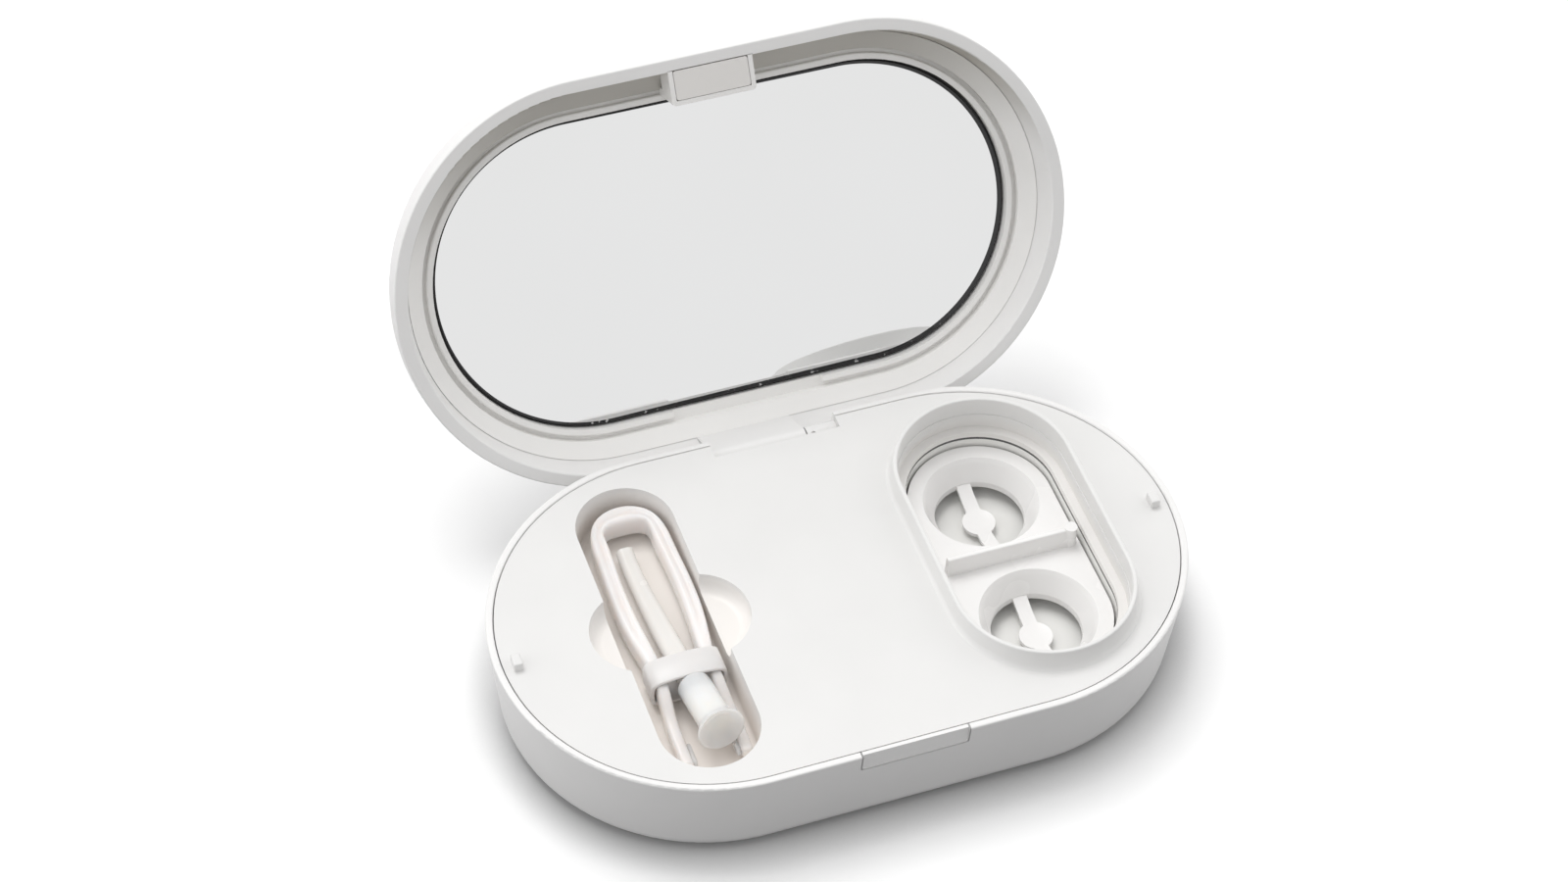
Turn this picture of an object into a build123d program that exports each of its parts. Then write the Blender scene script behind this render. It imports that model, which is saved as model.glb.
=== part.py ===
from build123d import *
import os
from math import cos, radians, sin

# Contact lens cleaner: a stadium-shaped box whose base holds a cleaning bowl, a lens basket and the
# lens tools, and whose hinged lid carries a mirror. The lid is drawn open.
# Millimetres. X runs along the case to the right, Y runs back to the hinge, Z is up.
# The origin is the middle of the soft pad that the case stands on.

# ---------------------------------------------------------------- driving sizes of the case
case_length = 142.0
case_width = 85.2
base_height = 21.8          # tub alone, without what the soft pad adds
lid_height = 13.2
rim_gap = 0.25              # between the two rims when the lid is closed
open_angle = 118.9          # from closed to fully open, degrees
seam = 0.2                  # visible gap round a panel that is let in
running_gap = 0.3           # between pieces that move past each other
shaft_play = 0.05           # radial, between the pin and what turns on it
edge_round = 0.35           # small rounding of moulded edges

end_radius = case_width / 2
straight = case_length / 2 - end_radius      # half length of the straight sides

# ---------------------------------------------------------------- base tub and its pad
pad_proud = 0.4
pad_thickness = 1.0
pad_inset = 8.0             # from the widest outline of the case to the edge of the pad
base_draft = 2.1            # how much narrower the foot of the wall is, each side
base_corner = 3.6           # rounding along the foot of the wall
floor_thickness = 1.8
rim_width = 1.5
ledge_width = 1.2           # carries the deck panel
base_wall = 2.0             # at the floor
inner_corner = 2.2
notch_length = 21.6         # finger notch in the front wall
notch_height = 4.4
notch_depth = 0.55
notch_corner = 1.0

foot_z = pad_proud
floor_z = foot_z + floor_thickness
rim_z = foot_z + base_height

# ---------------------------------------------------------------- deck panel
deck_drop = 0.2             # its face lies this far below the rim
deck_thickness = 2.0
wall = 1.3                  # moulded walls under the deck
deck_radius = end_radius - rim_width - seam
deck_z = rim_z - deck_drop
deck_under_z = deck_z - deck_thickness

bump_inset = 4.4            # from the ends of the case to the middles of the locating bumps
bump_x = case_length / 2 - bump_inset
bump_y = -0.8
bump_length = 1.9
bump_width = 3.1
bump_height = 1.9

post_inset = 13.0           # from the ends of the case to the screw posts that hold the deck down
post_x = case_length / 2 - post_inset
post_y = 12.0
post_radius = 2.6
boss_height = 2.0

# ---------------------------------------------------------------- tool recess
recess_inset = 34.9         # from the left end of the case to the middle of the recess
recess_x = recess_inset - case_length / 2
recess_radius = 10.05
recess_straight = 26.0      # half length between the end centres
recess_depth = 9.6
recess_draft = 0.35
recess_corner = 1.0
scoop_x = recess_x + 0.85
scoop_radius = 10.3
scoop_straight = 5.85
scoop_depth = 4.0
scoop_corner = 2.4

# ---------------------------------------------------------------- cleaning bowl and collar
bowl_inset = 34.6           # from the right end of the case to the middle of the bowl
bowl_x = case_length / 2 - bowl_inset
bowl_straight = 15.6
collar_height = 4.2         # above the rim
collar_radius = 17.65       # inside, at its lip
collar_draft = 0.3
collar_lip = 0.9
collar_foot = 1.5           # wall at the deck
collar_fillet = 1.4
ledge_drop = 3.6            # of the ledge inside the collar, below the rim
bowl_radius = 15.5
bowl_draft = 0.3
bowl_wall = 1.2
bowl_floor_z = 6.6
bowl_corner = 1.5
ledge_thickness = 1.3
gasket_height = 0.6
gasket_width = 0.9
flange_thickness = 1.4
flange_width = 1.7          # outside the bowl wall
ear_radius = 2.3
ear_reach = 18.9            # from the end centre of the bowl to an ear's screw

# ---------------------------------------------------------------- lens basket
basket_gap = 0.5            # to the bowl wall
basket_drop = 7.2           # of its top plate below the rim
basket_wall = 1.2
basket_draft = 0.15
basket_corner = 1.2
well_y = 15.6
well_mouth = 11.9
well_hole = 9.2
well_depth = 4.6
spoke_width = 3.0
spoke_step = 0.3            # the spoke starts this far below the hole's edge
spoke_sag = 1.8             # and its middle hangs this much lower still
spoke_thickness = 0.8
hole_wall = 1.5             # height of the hole's edge
disc_radius = 3.4
well_lip_width = 0.6        # slanted step at the mouth of a well
well_lip_height = 0.9
well_corner = 0.8
divider_height = 4.5
divider_foot = 1.9
divider_top = 1.1
divider_half = 13.6
nub_radius = 1.3

# ---------------------------------------------------------------- hinge
hinge_drop = 4.1            # of the pin below the rim
pin_radius = 0.9
pin_play = 0.1              # at each end of the pin
pin_end_wall = 1.0          # of the housing beyond the pin
barrel_radius = 2.2
hinge_inset = barrel_radius  # of the pin from the widest outline of the case
hinge_left = -13.3          # ends of the cut-out
hinge_right = 13.6
bush_length = 6.3
web_setback = 0.4           # from the pin's side to the bush's web
dimple_radius = 0.4         # locating dimple on top of the bush
dimple_inset = 1.3          # from the bush's end
arm_step = 1.4              # how far the arm reaches out under the lid's rim
cheek = 4.2                 # of the housing beside the cut-out
housing_depth = 5.2
housing_floor = 1.9

hinge_y = end_radius - hinge_inset
hinge_z = rim_z - hinge_drop
lid_z = rim_z + rim_gap     # rim plane of the closed lid

# ---------------------------------------------------------------- lid; depths are from its rim plane
lid_rim_width = 2.75
lid_corner = 9.0            # rounding along the top of the lid
lid_top = 1.45
mirror_thickness = 1.2
backing_thickness = 0.15
mirror_depth = lid_height - lid_top - backing_thickness - mirror_thickness
groove_depth = mirror_depth - 0.5
lip_depth = mirror_depth - 1.4
lip_slope = 0.3             # fall of the lip towards its groove
slope_foot_depth = mirror_depth - 1.9
liner_seat_depth = mirror_depth - 2.8
lid_step_depth = mirror_depth - 4.6         # foot of the steep inner wall
lid_step_draft = 1.1
liner_seat_width = 1.0
liner_seat_wall = 0.5       # of the liner below its seat
liner_foot_step = 1.6
liner_gap = 0.1
liner_foot_radius = end_radius - 6.3
slope_foot_radius = end_radius - 7.5
mirror_radius = end_radius - 10.4
mirror_straight = straight + 0.4
mirror_shift = 0.45         # towards the hinge
mirror_gap = 0.45
mirror_bevel = 0.25
lip_width = 1.35
groove_width = 0.95
backing_margin = 2.4
window_half = 16.3          # the lip is left out over this length beside the hinge
lid_crown_width = 1.5       # slanted corner inside the lid's top
lid_crown_height = 1.65

latch_half = 8.8
latch_outer = end_radius - 2.5              # from the middle of the case to the latch block's faces
latch_inner = latch_outer - 7.2
latch_corner = 0.8
plate_frame = 0.95
plate_gap = 0.12
plate_thickness = 1.0
plate_corner = 0.5
magnet_length = 10.0
magnet_width = 4.6
magnet_height = 2.4

# ---------------------------------------------------------------- parts inside the base
board_left = recess_x + 14.6
board_right = bowl_x - 19.9
board_front, board_back = -27.0, end_radius - 8.0
board_z = 5.0
board_thickness = 1.2
board_hole_inset = 3.0
socket_width = 8.94
socket_height = 3.26
socket_depth = 7.35
socket_wall = 0.3
socket_back = 1.2           # closed end of the socket
socket_play = 0.17
socket_nose = 0.6           # behind the outer face of the wall
tongue_width, tongue_height, tongue_length = 6.7, 0.7, 5.5
battery_length = 46.0
battery_width = 20.0
battery_pad_height = 0.8
battery_pad_margin = 1.5
battery_air = 1.1           # between the cell and the recess above it
battery_corner = 1.5
battery_height = (deck_z - recess_depth - wall) - battery_air - (floor_z + battery_pad_height)
transducer_radius = 10.0
transducer_step = 8.0       # radius of its lower electrode
transducer_height = 2.0
touch_radius = 7.0
touch_height = 0.4
touch_lead_width = 4.0
touch_lead_thickness = 0.3
touch_lead_x = 4.75         # where it goes down to the board
touch_lead_start = -3.0
lead_radius = 0.5
lead_space = 2.4            # between the two leads of a pair
lead_height = 1.4           # of their axes above the board
screw_radius = 1.0
screw_head_radius = 1.85
screw_head_height = 1.1

# ---------------------------------------------------------------- lens tools in the recess
tool_x = recess_x + 0.8
tool_gap = 0.3              # under the tools
tool_height = 5.6
arm_thickness = 3.4
bend_y = 34.4               # outer face of the tweezers' bend
bend_radius = 7.9           # of that face
bend_thickness = 4.6
bend_inside = 4.3           # half the width of the bend's flat inner face
tip_y = -30.0
slope_back = -12.4          # the arms slope down in front of here
slope_foot = -18.5          # and are this low under the suction cup
slope_foot_height = 2.9
slope_bend = 8.0            # radius between the two
tip_height = 2.6
tip_length = 5.5
tip_face = 3.9              # from the middle of the tweezers to the soft tips' flat faces
tip_round = 0.6
tip_inset = 0.4             # from the arms' ends and edges
arm_at_band = 5.35          # from the middle to an arm's middle line, under the band
band_share = 0.8            # of the full arm thickness there
tool_round = 0.7
groove_radius = 0.5         # groove along the middle of the arms
band_front, band_back = -12.2, -6.2
band_wall = 0.8
band_gap = 0.15             # round what the band holds
band_crown = 0.5            # rise of the band over the stick
stick_x = recess_x + 1.0    # the stick crosses the band here
stick_y = (band_front + band_back) / 2
stick_height = 4.65         # of the stick's axis above the floor of the recess, at the band
stick_yaw = 4.3             # degrees, of the part before the band
stick_pitch = 11.0
stick_back = 25.6
stick_back_x = recess_x - 0.4
stick_back_height = 2.2     # of its axis above the floor of the recess
head_radius = 3.4
neck_radius = 2.2
head_length = 11.0
head_back = band_front - 0.8
cup_radius = 4.8
cup_flare = 3.0             # length of the flare
cup_depth = 1.9
cup_wall = 0.45
cup_base = 1.6              # radius of the hollow's floor


# ---------------------------------------------------------------- ways of making things
def section(points):
    """Face in the XZ plane through (across, up, corner radius) points."""
    path = [(across, up) for across, up, _ in points]
    radii = [radius for _, _, radius in points]
    return Plane.XZ * make_face(FilletPolyline(*path, radius=radii, close=True))


def racetrack(profile, half):
    """Carry a (radius, height) section round a stadium whose straights run along X."""
    end = revolve(Rot(0, 0, -90) * profile, Axis.Z, 180)
    side = extrude(Rot(0, 0, 90) * profile, amount=half, both=True)
    right = Pos(half, 0, 0) * end + side
    return right + Rot(0, 0, 180) * right


def across(shape):
    """Turn a stadium's long way from X to Y."""
    return Rot(0, 0, 90) * shape


def plug(top_radius, bottom_radius, top, bottom, corner, half):
    """Tapered stadium block with a rounded foot."""
    points = [(0, bottom, 0), (bottom_radius, bottom, corner), (top_radius, top, 0), (0, top, 0)]
    return racetrack(section(points), half)


def slab(radius, half, bottom, top):
    """Flat stadium plate."""
    return plug(radius, radius, top, bottom, 0, half)


def block(x0, x1, y0, y1, z0, z1):
    """Box between two corners."""
    size = Box(x1 - x0, y1 - y0, z1 - z0)
    return Pos((x0 + x1) / 2, (y0 + y1) / 2, (z0 + z1) / 2) * size


def rod(radius, x, y, z0, z1):
    """Upright cylinder."""
    return Pos(x, y, (z0 + z1) / 2) * Cylinder(radius, z1 - z0)


def axle(radius, x0, x1, y, z):
    """Cylinder along X."""
    return Pos((x0 + x1) / 2, y, z) * Rot(0, 90, 0) * Cylinder(radius, x1 - x0)


def along_x(points, x0, x1):
    """Extrude (y, z, corner radius) points from x0 to x1."""
    face = Rot(0, 0, 90) * section(points)
    return Pos((x0 + x1) / 2, 0, 0) * extrude(face, amount=(x1 - x0) / 2, both=True)


def wire(*points, radius=lead_radius, bend=1.6):
    """Round wire along straight runs and arcs."""
    path = FilletPolyline(*points, radius=bend)
    start = Plane(origin=path @ 0, z_dir=path % 0)
    return sweep(start * Circle(radius), path=path)


def screw(x, y, head_bottom, length):
    """Pan head screw pointing up."""
    shank_z = head_bottom + screw_head_height
    return rod(screw_head_radius, x, y, head_bottom, shank_z) + rod(screw_radius, x, y, shank_z, shank_z + length)


def opened(shape):
    """Swing a piece of the closed lid to where it stands open."""
    return Pos(0, hinge_y, hinge_z) * Rot(-open_angle, 0, 0) * Pos(0, -hinge_y, -hinge_z) * shape


post_places = [(side * post_x, end * post_y) for side in (-1, 1) for end in (-1, 1)]
diagonal = ear_reach * cos(radians(45))
ear_places = [(bowl_x + side * diagonal, end * (bowl_straight + diagonal))
              for side in (-1, 1) for end in (-1, 1)]
board_places = [(x, y) for x in (board_left + board_hole_inset, board_right - board_hole_inset)
                for y in (board_front + board_hole_inset, board_back - board_hole_inset)]


# ---------------------------------------------------------------- base tub
def hinge_swing(clearance):
    """Space that the lid's arm sweeps, seen along the pin, out through the back of the case."""
    reach = barrel_radius + clearance
    out = hinge_inset + base_draft + reach
    turn = radians(open_angle)
    start = (reach * cos(turn), -reach * sin(turn))
    run = (out - start[0]) / sin(turn)
    corner = (out, start[1] + run * cos(turn))
    up = hinge_drop + collar_height
    points = [(-reach, 0), (-reach, up), (out, up), corner, start]
    points = [(hinge_y + y, hinge_z + z, 0) for y, z in points]
    swing = along_x(points, hinge_left, hinge_right)
    return swing + axle(reach, hinge_left, hinge_right, hinge_y, hinge_z)


def make_base_shell():
    ledge_z = deck_under_z
    pad_radius = end_radius - pad_inset
    inner_top = end_radius - rim_width - ledge_width
    inner_foot = end_radius - base_draft - base_wall
    outer = section([
        (0, foot_z, 0),
        (end_radius - base_draft, foot_z, base_corner),
        (end_radius, rim_z, edge_round),
        (end_radius - rim_width, rim_z, edge_round),
        (end_radius - rim_width, ledge_z, 0),
        (inner_top, ledge_z, 0),
        (inner_foot, floor_z, inner_corner),
        (0, floor_z, 0),
    ])
    shell = racetrack(outer, straight)
    # housing that carries the hinge pin
    housing_bottom = hinge_z - barrel_radius - housing_floor - hinge_inset
    housing = block(hinge_left - cheek, hinge_right + cheek,
                    hinge_y - housing_depth, end_radius, housing_bottom, ledge_z)
    shell += housing & racetrack(section([
        (0, foot_z, 0), (end_radius - base_draft - edge_round, foot_z, 0),
        (end_radius - edge_round, rim_z, 0), (0, rim_z, 0)]), straight)
    shell -= hinge_swing(running_gap)
    shell -= bush_web()
    shell -= axle(pin_radius, hinge_left - cheek + pin_end_wall, hinge_right + cheek - pin_end_wall, hinge_y, hinge_z)
    # the back edge is rounded about the pin, so that the lid's rim swings past it
    relief = block(-case_length, case_length, hinge_y, hinge_y + end_radius,
                   hinge_z, rim_z + rim_gap)
    relief -= axle(hinge_drop - shaft_play, -case_length, case_length, hinge_y, hinge_z)
    shell -= relief
    # finger notch in the front wall
    notch = section([
        (-notch_length / 2, rim_z - notch_height, notch_corner),
        (notch_length / 2, rim_z - notch_height, notch_corner),
        (notch_length / 2, rim_z + 1, 0),
        (-notch_length / 2, rim_z + 1, 0),
    ])
    notch_face = end_radius - notch_depth
    shell -= Pos(0, -notch_face, 0) * extrude(notch, amount=end_radius)
    # recess for the pad, and the way in for the screws
    shell -= slab(pad_radius + seam, straight, foot_z, pad_thickness)
    for x, y in post_places:
        shell += rod(post_radius + wall / 2, x, y, floor_z - edge_round, floor_z + boss_height)
        shell -= rod(screw_head_radius + seam, x, y, foot_z, pad_thickness + screw_head_height)
        shell -= rod(screw_radius, x, y, foot_z, floor_z + boss_height)
    for x, y in board_places:
        shell += rod(2 * screw_radius, x, y, floor_z - edge_round, board_z)
        shell -= rod(screw_radius, x, y, floor_z, board_z)
    # opening for the charging socket
    middle_z = board_z + board_thickness + socket_height / 2
    round_height = socket_height + 2 * socket_play
    hole = SlotOverall(socket_width + 2 * socket_play, round_height)
    shell -= Pos(0, end_radius, middle_z) * extrude(Plane.XZ * hole, amount=2 * base_wall + base_draft)
    return shell


def make_non_slip_pad():
    pad = slab(end_radius - pad_inset, straight, 0, pad_thickness)
    return fillet(pad.edges().group_by(Axis.Z)[0], edge_round)


# ---------------------------------------------------------------- deck panel
def make_deck_panel():
    deck = slab(deck_radius, straight, deck_under_z, deck_z)
    recess_floor = deck_z - recess_depth
    scoop_floor = deck_z - scoop_depth
    ledge_z = rim_z - ledge_drop
    ledge_under = ledge_z - ledge_thickness
    collar_top = rim_z + collar_height
    place_bowl = Pos(bowl_x, 0, 0)
    place_recess = Pos(recess_x, 0, 0)
    place_scoops = Pos(scoop_x, 0, 0)
    # what hangs below: tub of the recess, shells of the scoops, tube round the bowl's mouth
    deck += place_recess * across(plug(recess_radius + wall, recess_radius - recess_draft + wall,
                                       deck_under_z, recess_floor - wall, 0, recess_straight))
    deck += place_scoops * slab(scoop_radius + wall, scoop_straight, scoop_floor - wall, deck_under_z)
    deck += place_bowl * across(slab(collar_radius + wall, bowl_straight, ledge_under, deck_under_z))
    for x, y in ear_places:
        deck += rod(ear_radius, x, y, ledge_under - gasket_height, deck_under_z)
    # raised collar, with a soft foot on the deck
    collar = section([
        (collar_radius, deck_z - 1, 0),
        (collar_radius, collar_top, edge_round),
        (collar_radius + collar_lip, collar_top, edge_round),
        (collar_radius + collar_foot, deck_z, collar_fillet),
        (collar_radius + collar_foot + 2 * collar_fillet, deck_z - edge_round, 0),
        (collar_radius + collar_foot + 2 * collar_fillet, deck_z - 1, 0),
    ])
    deck += place_bowl * across(racetrack(collar, bowl_straight))
    # hollows
    deck -= place_recess * across(plug(recess_radius, recess_radius - recess_draft,
                                       deck_z + 1, recess_floor, recess_corner, recess_straight))
    deck -= place_scoops * plug(scoop_radius, scoop_radius, deck_z + 1, scoop_floor,
                                scoop_corner, scoop_straight)
    deck -= place_bowl * across(plug(collar_radius, collar_radius - collar_draft,
                                     collar_top + 1, ledge_z, 0, bowl_straight))
    deck -= place_bowl * across(slab(bowl_radius, bowl_straight, ledge_under - 1, ledge_z + 1))
    for x, y in ear_places:
        deck -= rod(screw_radius, x, y, ledge_under - gasket_height, deck_under_z)
    # screw posts
    for x, y in post_places:
        deck += rod(post_radius, x, y, floor_z + boss_height, deck_under_z)
        deck -= rod(screw_radius, x, y, floor_z + boss_height, floor_z + 4 * boss_height)
    # locating bumps
    for side in (-1, 1):
        bump = Box(bump_length, bump_width, bump_height + deck_drop)
        bump = fillet(bump.edges().filter_by(Axis.Z) + bump.edges().group_by(Axis.Z)[-1], edge_round)
        deck += Pos(side * bump_x, bump_y, deck_z + bump_height / 2 - deck_drop / 2) * bump
    # cut-out for the hinge
    deck -= block(hinge_left, hinge_right, hinge_y - barrel_radius - running_gap, end_radius,
                  deck_under_z - 1, deck_z + 1)
    return deck


# ---------------------------------------------------------------- cleaning bowl
def bowl_levels():
    ledge_under = rim_z - ledge_drop - ledge_thickness
    return ledge_under, ledge_under - gasket_height


def make_cleaning_bowl():
    flange_z = bowl_levels()[1]
    flange_radius = bowl_radius + bowl_wall + flange_width
    place = Pos(bowl_x, 0, 0)
    bowl = across(plug(bowl_radius + bowl_wall, bowl_radius - bowl_draft + bowl_wall,
                       flange_z, bowl_floor_z - bowl_wall, bowl_corner, bowl_straight))
    bowl += across(slab(flange_radius, bowl_straight, flange_z - flange_thickness, flange_z))
    bowl = place * bowl
    for x, y in ear_places:
        bowl += rod(ear_radius, x, y, flange_z - flange_thickness, flange_z)
        bowl -= rod(screw_radius, x, y, flange_z - flange_thickness, flange_z)
    bowl -= place * across(plug(bowl_radius, bowl_radius - bowl_draft, flange_z + 1,
                                bowl_floor_z, bowl_corner, bowl_straight))
    return bowl


def make_bowl_gasket():
    top, bottom = bowl_levels()
    ring = slab(bowl_radius + gasket_width, bowl_straight, bottom, top)
    ring -= slab(bowl_radius, bowl_straight, bottom - 1, top + 1)
    return Pos(bowl_x, 0, 0) * across(ring)


def make_bowl_screws():
    flange_under = bowl_levels()[1] - flange_thickness
    return [screw(x, y, flange_under - screw_head_height, 4.0) for x, y in ear_places]


# ---------------------------------------------------------------- lens basket
def make_lens_basket():
    top = rim_z - basket_drop
    radius = bowl_radius - basket_gap
    bottom = bowl_floor_z + running_gap
    basket = across(plug(radius, radius - basket_draft, top, bottom, basket_corner, bowl_straight))
    basket -= across(plug(radius - basket_wall, radius - basket_draft - basket_wall,
                          top - basket_wall, bottom - 1, 0, bowl_straight))
    hole_z = top - well_depth
    sag_radius = (well_hole ** 2 + spoke_sag ** 2) / (2 * spoke_sag)
    ball_z = hole_z - spoke_step - spoke_sag + sag_radius
    for y in (-well_y, well_y):
        well = section([
            (well_hole, hole_z - hole_wall, 0),
            (well_mouth + basket_wall, top - basket_wall, 0),
            (well_mouth + basket_wall, top, 0),
            (well_mouth, top, 0),
            (well_mouth - well_lip_width, top - well_lip_height, well_corner),
            (well_hole, hole_z, 0),
        ])
        basket -= Pos(0, y, 0) * revolve(section([
            (0, top - 2 * basket_wall, 0), (well_mouth, top - 2 * basket_wall, 0),
            (well_mouth, top + 1, 0), (0, top + 1, 0)]), Axis.Z)
        basket += Pos(0, y, 0) * revolve(well, Axis.Z)
        # the spoke and its disc follow a ball, as a lens does
        bar = block(-spoke_width / 2, spoke_width / 2, -well_hole - spoke_step, well_hole + spoke_step, bottom, top)
        bar += rod(disc_radius, 0, 0, bottom, top)
        ball = Sphere(sag_radius + spoke_thickness) - Sphere(sag_radius)
        ball = Pos(0, 0, ball_z) * Rot(0, -90, 0) * ball
        basket += Pos(0, y, 0) * (bar & ball)
    divider = along_y([
        (-divider_foot / 2, top - basket_wall / 2, 0), (divider_foot / 2, top - basket_wall / 2, 0),
        (divider_foot / 2, top, 0),
        (divider_top / 2, top + divider_height, edge_round),
        (-divider_top / 2, top + divider_height, edge_round),
        (-divider_foot / 2, top, 0)], divider_half)
    basket += divider
    basket += rod(nub_radius, divider_half - nub_radius / 2, 0,
                  top - basket_wall / 2, top + divider_height + edge_round)
    return Pos(bowl_x, 0, 0) * basket


def along_y(points, half):
    """Extrude (y, z, corner radius) points along X for half to each side."""
    return along_x(points, -half, half)


# ---------------------------------------------------------------- parts inside the base
def make_circuit_board():
    board = block(board_left, board_right, board_front, board_back, board_z, board_z + board_thickness)
    board = fillet(board.edges().filter_by(Axis.Z), board_hole_inset / 2)
    for x, y in board_places:
        board -= rod(screw_radius, x, y, board_z - 1, board_z + board_thickness + 1)
    return board


def make_board_screws():
    top = board_z + board_thickness
    length = top - floor_z - running_gap
    screws = [screw(0, 0, 0, length) for _ in board_places]
    return [Pos(x, y, top + screw_head_height) * Rot(180, 0, 0) * one
            for one, (x, y) in zip(screws, board_places)]


connector_x = board_right - 0.3          # outer face of the transducer's connector
battery_plug_x = board_left + 1.5        # outer face of the battery's connector


def on_board(x, y, length, width, height):
    """Small part standing on the board at its middle (x, y)."""
    top = board_z + board_thickness
    return block(x - length / 2, x + length / 2, y - width / 2, y + width / 2, top, top + height)


def can_on_board(x, y, radius, height):
    return rod(radius, x, y, board_z + board_thickness, board_z + board_thickness + height)


def make_board_parts():
    """Two wire connectors, the touch pad's connector, driver and charger chips, coil, capacitor, chip row."""
    middle = (board_left + board_right) / 2
    parts = [
        on_board(connector_x - 2.25, 0, 4.5, 8.0, 3.5),
        on_board(battery_plug_x + 2.5, battery_length / 2 + 3.6, 5.0, 5.6, 3.5),
        on_board(touch_lead_x, 0, 3.5, 7.0, lead_height + 0.2),
        on_board(middle - 4.5, 10.0, 8.0, 8.0, 1.0),
        on_board(middle - 4.0, -9.5, 5.0, 5.0, 0.9),
        can_on_board(middle + 7.5, -16.0, 3.5, 3.2),
        can_on_board(middle - 11.0, -14.0, 3.0, 5.5),
    ]
    parts += [on_board(middle + step, 19.15, 2.0, 1.3, 0.8) for step in (-4.5, -0.5, 3.5, 7.5)]
    return parts


def make_charging_socket():
    top = board_z + board_thickness
    middle = top + socket_height / 2
    face_y = end_radius - base_draft * (rim_z - middle) / base_height - socket_nose
    outline = SlotOverall(socket_width, socket_height)
    can = Pos(0, face_y, middle) * extrude(Plane.XZ * outline, amount=socket_depth)
    hollow = SlotOverall(socket_width - 2 * socket_wall, socket_height - 2 * socket_wall)
    can -= Pos(0, face_y, middle) * extrude(Plane.XZ * hollow, amount=socket_depth - socket_back)
    root_y = face_y - socket_depth + socket_back - edge_round / 2
    tongue = block(-tongue_width / 2, tongue_width / 2, root_y, root_y + tongue_length,
                   middle - tongue_height / 2, middle + tongue_height / 2)
    return can + tongue


def make_battery_pad():
    half_x, half_y = battery_width / 2 - battery_pad_margin, battery_length / 2 - battery_pad_margin
    return block(recess_x - half_x, recess_x + half_x, -half_y, half_y,
                 floor_z, floor_z + battery_pad_height)


def make_battery_cell():
    bottom = floor_z + battery_pad_height
    cell = Pos(recess_x, 0, bottom + battery_height / 2) * Box(battery_width, battery_length, battery_height)
    return fillet(cell.edges().filter_by(Axis.Y), battery_corner)


def make_battery_leads():
    """Two leads out of the cell's back end, each turning once to the connector."""
    start_y = battery_length / 2
    z = board_z + board_thickness + lead_height
    leads = []
    for step, run in ((0, 3.4), (2.0, 5.6)):
        x = recess_x + 6.0 - step
        leads.append(wire((x, start_y, z), (x, start_y + run, z), (battery_plug_x, start_y + run, z)))
    return leads


def make_transducer():
    top = bowl_floor_z - bowl_wall
    step_z = top - transducer_height / 2
    disc = rod(transducer_radius, bowl_x, 0, step_z, top)
    return disc + rod(transducer_step, bowl_x, 0, top - transducer_height, step_z)


def make_transducer_leads():
    """Two leads from the lower electrode, round the foot of the bowl and up to the connector."""
    low = bowl_floor_z - bowl_wall - transducer_height * 0.75
    high = board_z + board_thickness + lead_height
    edge = bowl_x - transducer_step
    rise = (board_right + bowl_x - bowl_radius - bowl_wall) / 2
    return [wire((edge, y, low), (rise, y, low), (rise, y, high), (connector_x, y, high), bend=0.9)
            for y in (-lead_space / 2, lead_space / 2)]


def make_touch_pad():
    return rod(touch_radius, 0, 0, deck_under_z - touch_height, deck_under_z)


def make_touch_lead():
    z = deck_under_z - touch_height - touch_lead_thickness / 2
    low = board_z + board_thickness + lead_height + 0.2
    path = FilletPolyline((touch_lead_start, 0, z), (touch_lead_x, 0, z), (touch_lead_x, 0, low), radius=2.0)
    strip = Rectangle(touch_lead_width, touch_lead_thickness)
    return sweep(Plane(origin=path @ 0, x_dir=(0, 1, 0), z_dir=path % 0) * strip, path=path)


def make_base_magnet():
    middle = (latch_inner + latch_outer) / 2
    return block(-magnet_length / 2, magnet_length / 2, -middle - magnet_width / 2,
                 -middle + magnet_width / 2, deck_under_z - magnet_height, deck_under_z)


def make_base_screws():
    return [screw(x, y, pad_thickness, 3.5 * boss_height) for x, y in post_places]


# ---------------------------------------------------------------- hinge
def make_hinge_pin():
    inset = cheek - pin_end_wall - pin_play
    pin = axle(pin_radius, hinge_left - inset, hinge_right + inset, hinge_y, hinge_z)
    return chamfer(pin.edges().filter_by(GeomType.CIRCLE), 0.2)


arm_left = hinge_left + running_gap
arm_right = hinge_right - bush_length - running_gap


def bush_web():
    """Flat web that keeps the friction bush from turning with the lid."""
    return block(hinge_right - bush_length, hinge_right, hinge_y - barrel_radius - running_gap,
                 hinge_y - pin_radius - web_setback, hinge_z - barrel_radius, hinge_z)


def make_hinge_bush():
    bush = axle(barrel_radius, hinge_right - bush_length, hinge_right, hinge_y, hinge_z)
    bush -= axle(pin_radius, hinge_left, hinge_right + 1, hinge_y, hinge_z)
    dimple = rod(dimple_radius, hinge_right - bush_length + dimple_inset, hinge_y - pin_radius,
                 hinge_z, hinge_z + 2 * barrel_radius)
    dimple -= axle(barrel_radius - dimple_radius, hinge_left, hinge_right, hinge_y, hinge_z)
    return bush + bush_web() - dimple


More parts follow.
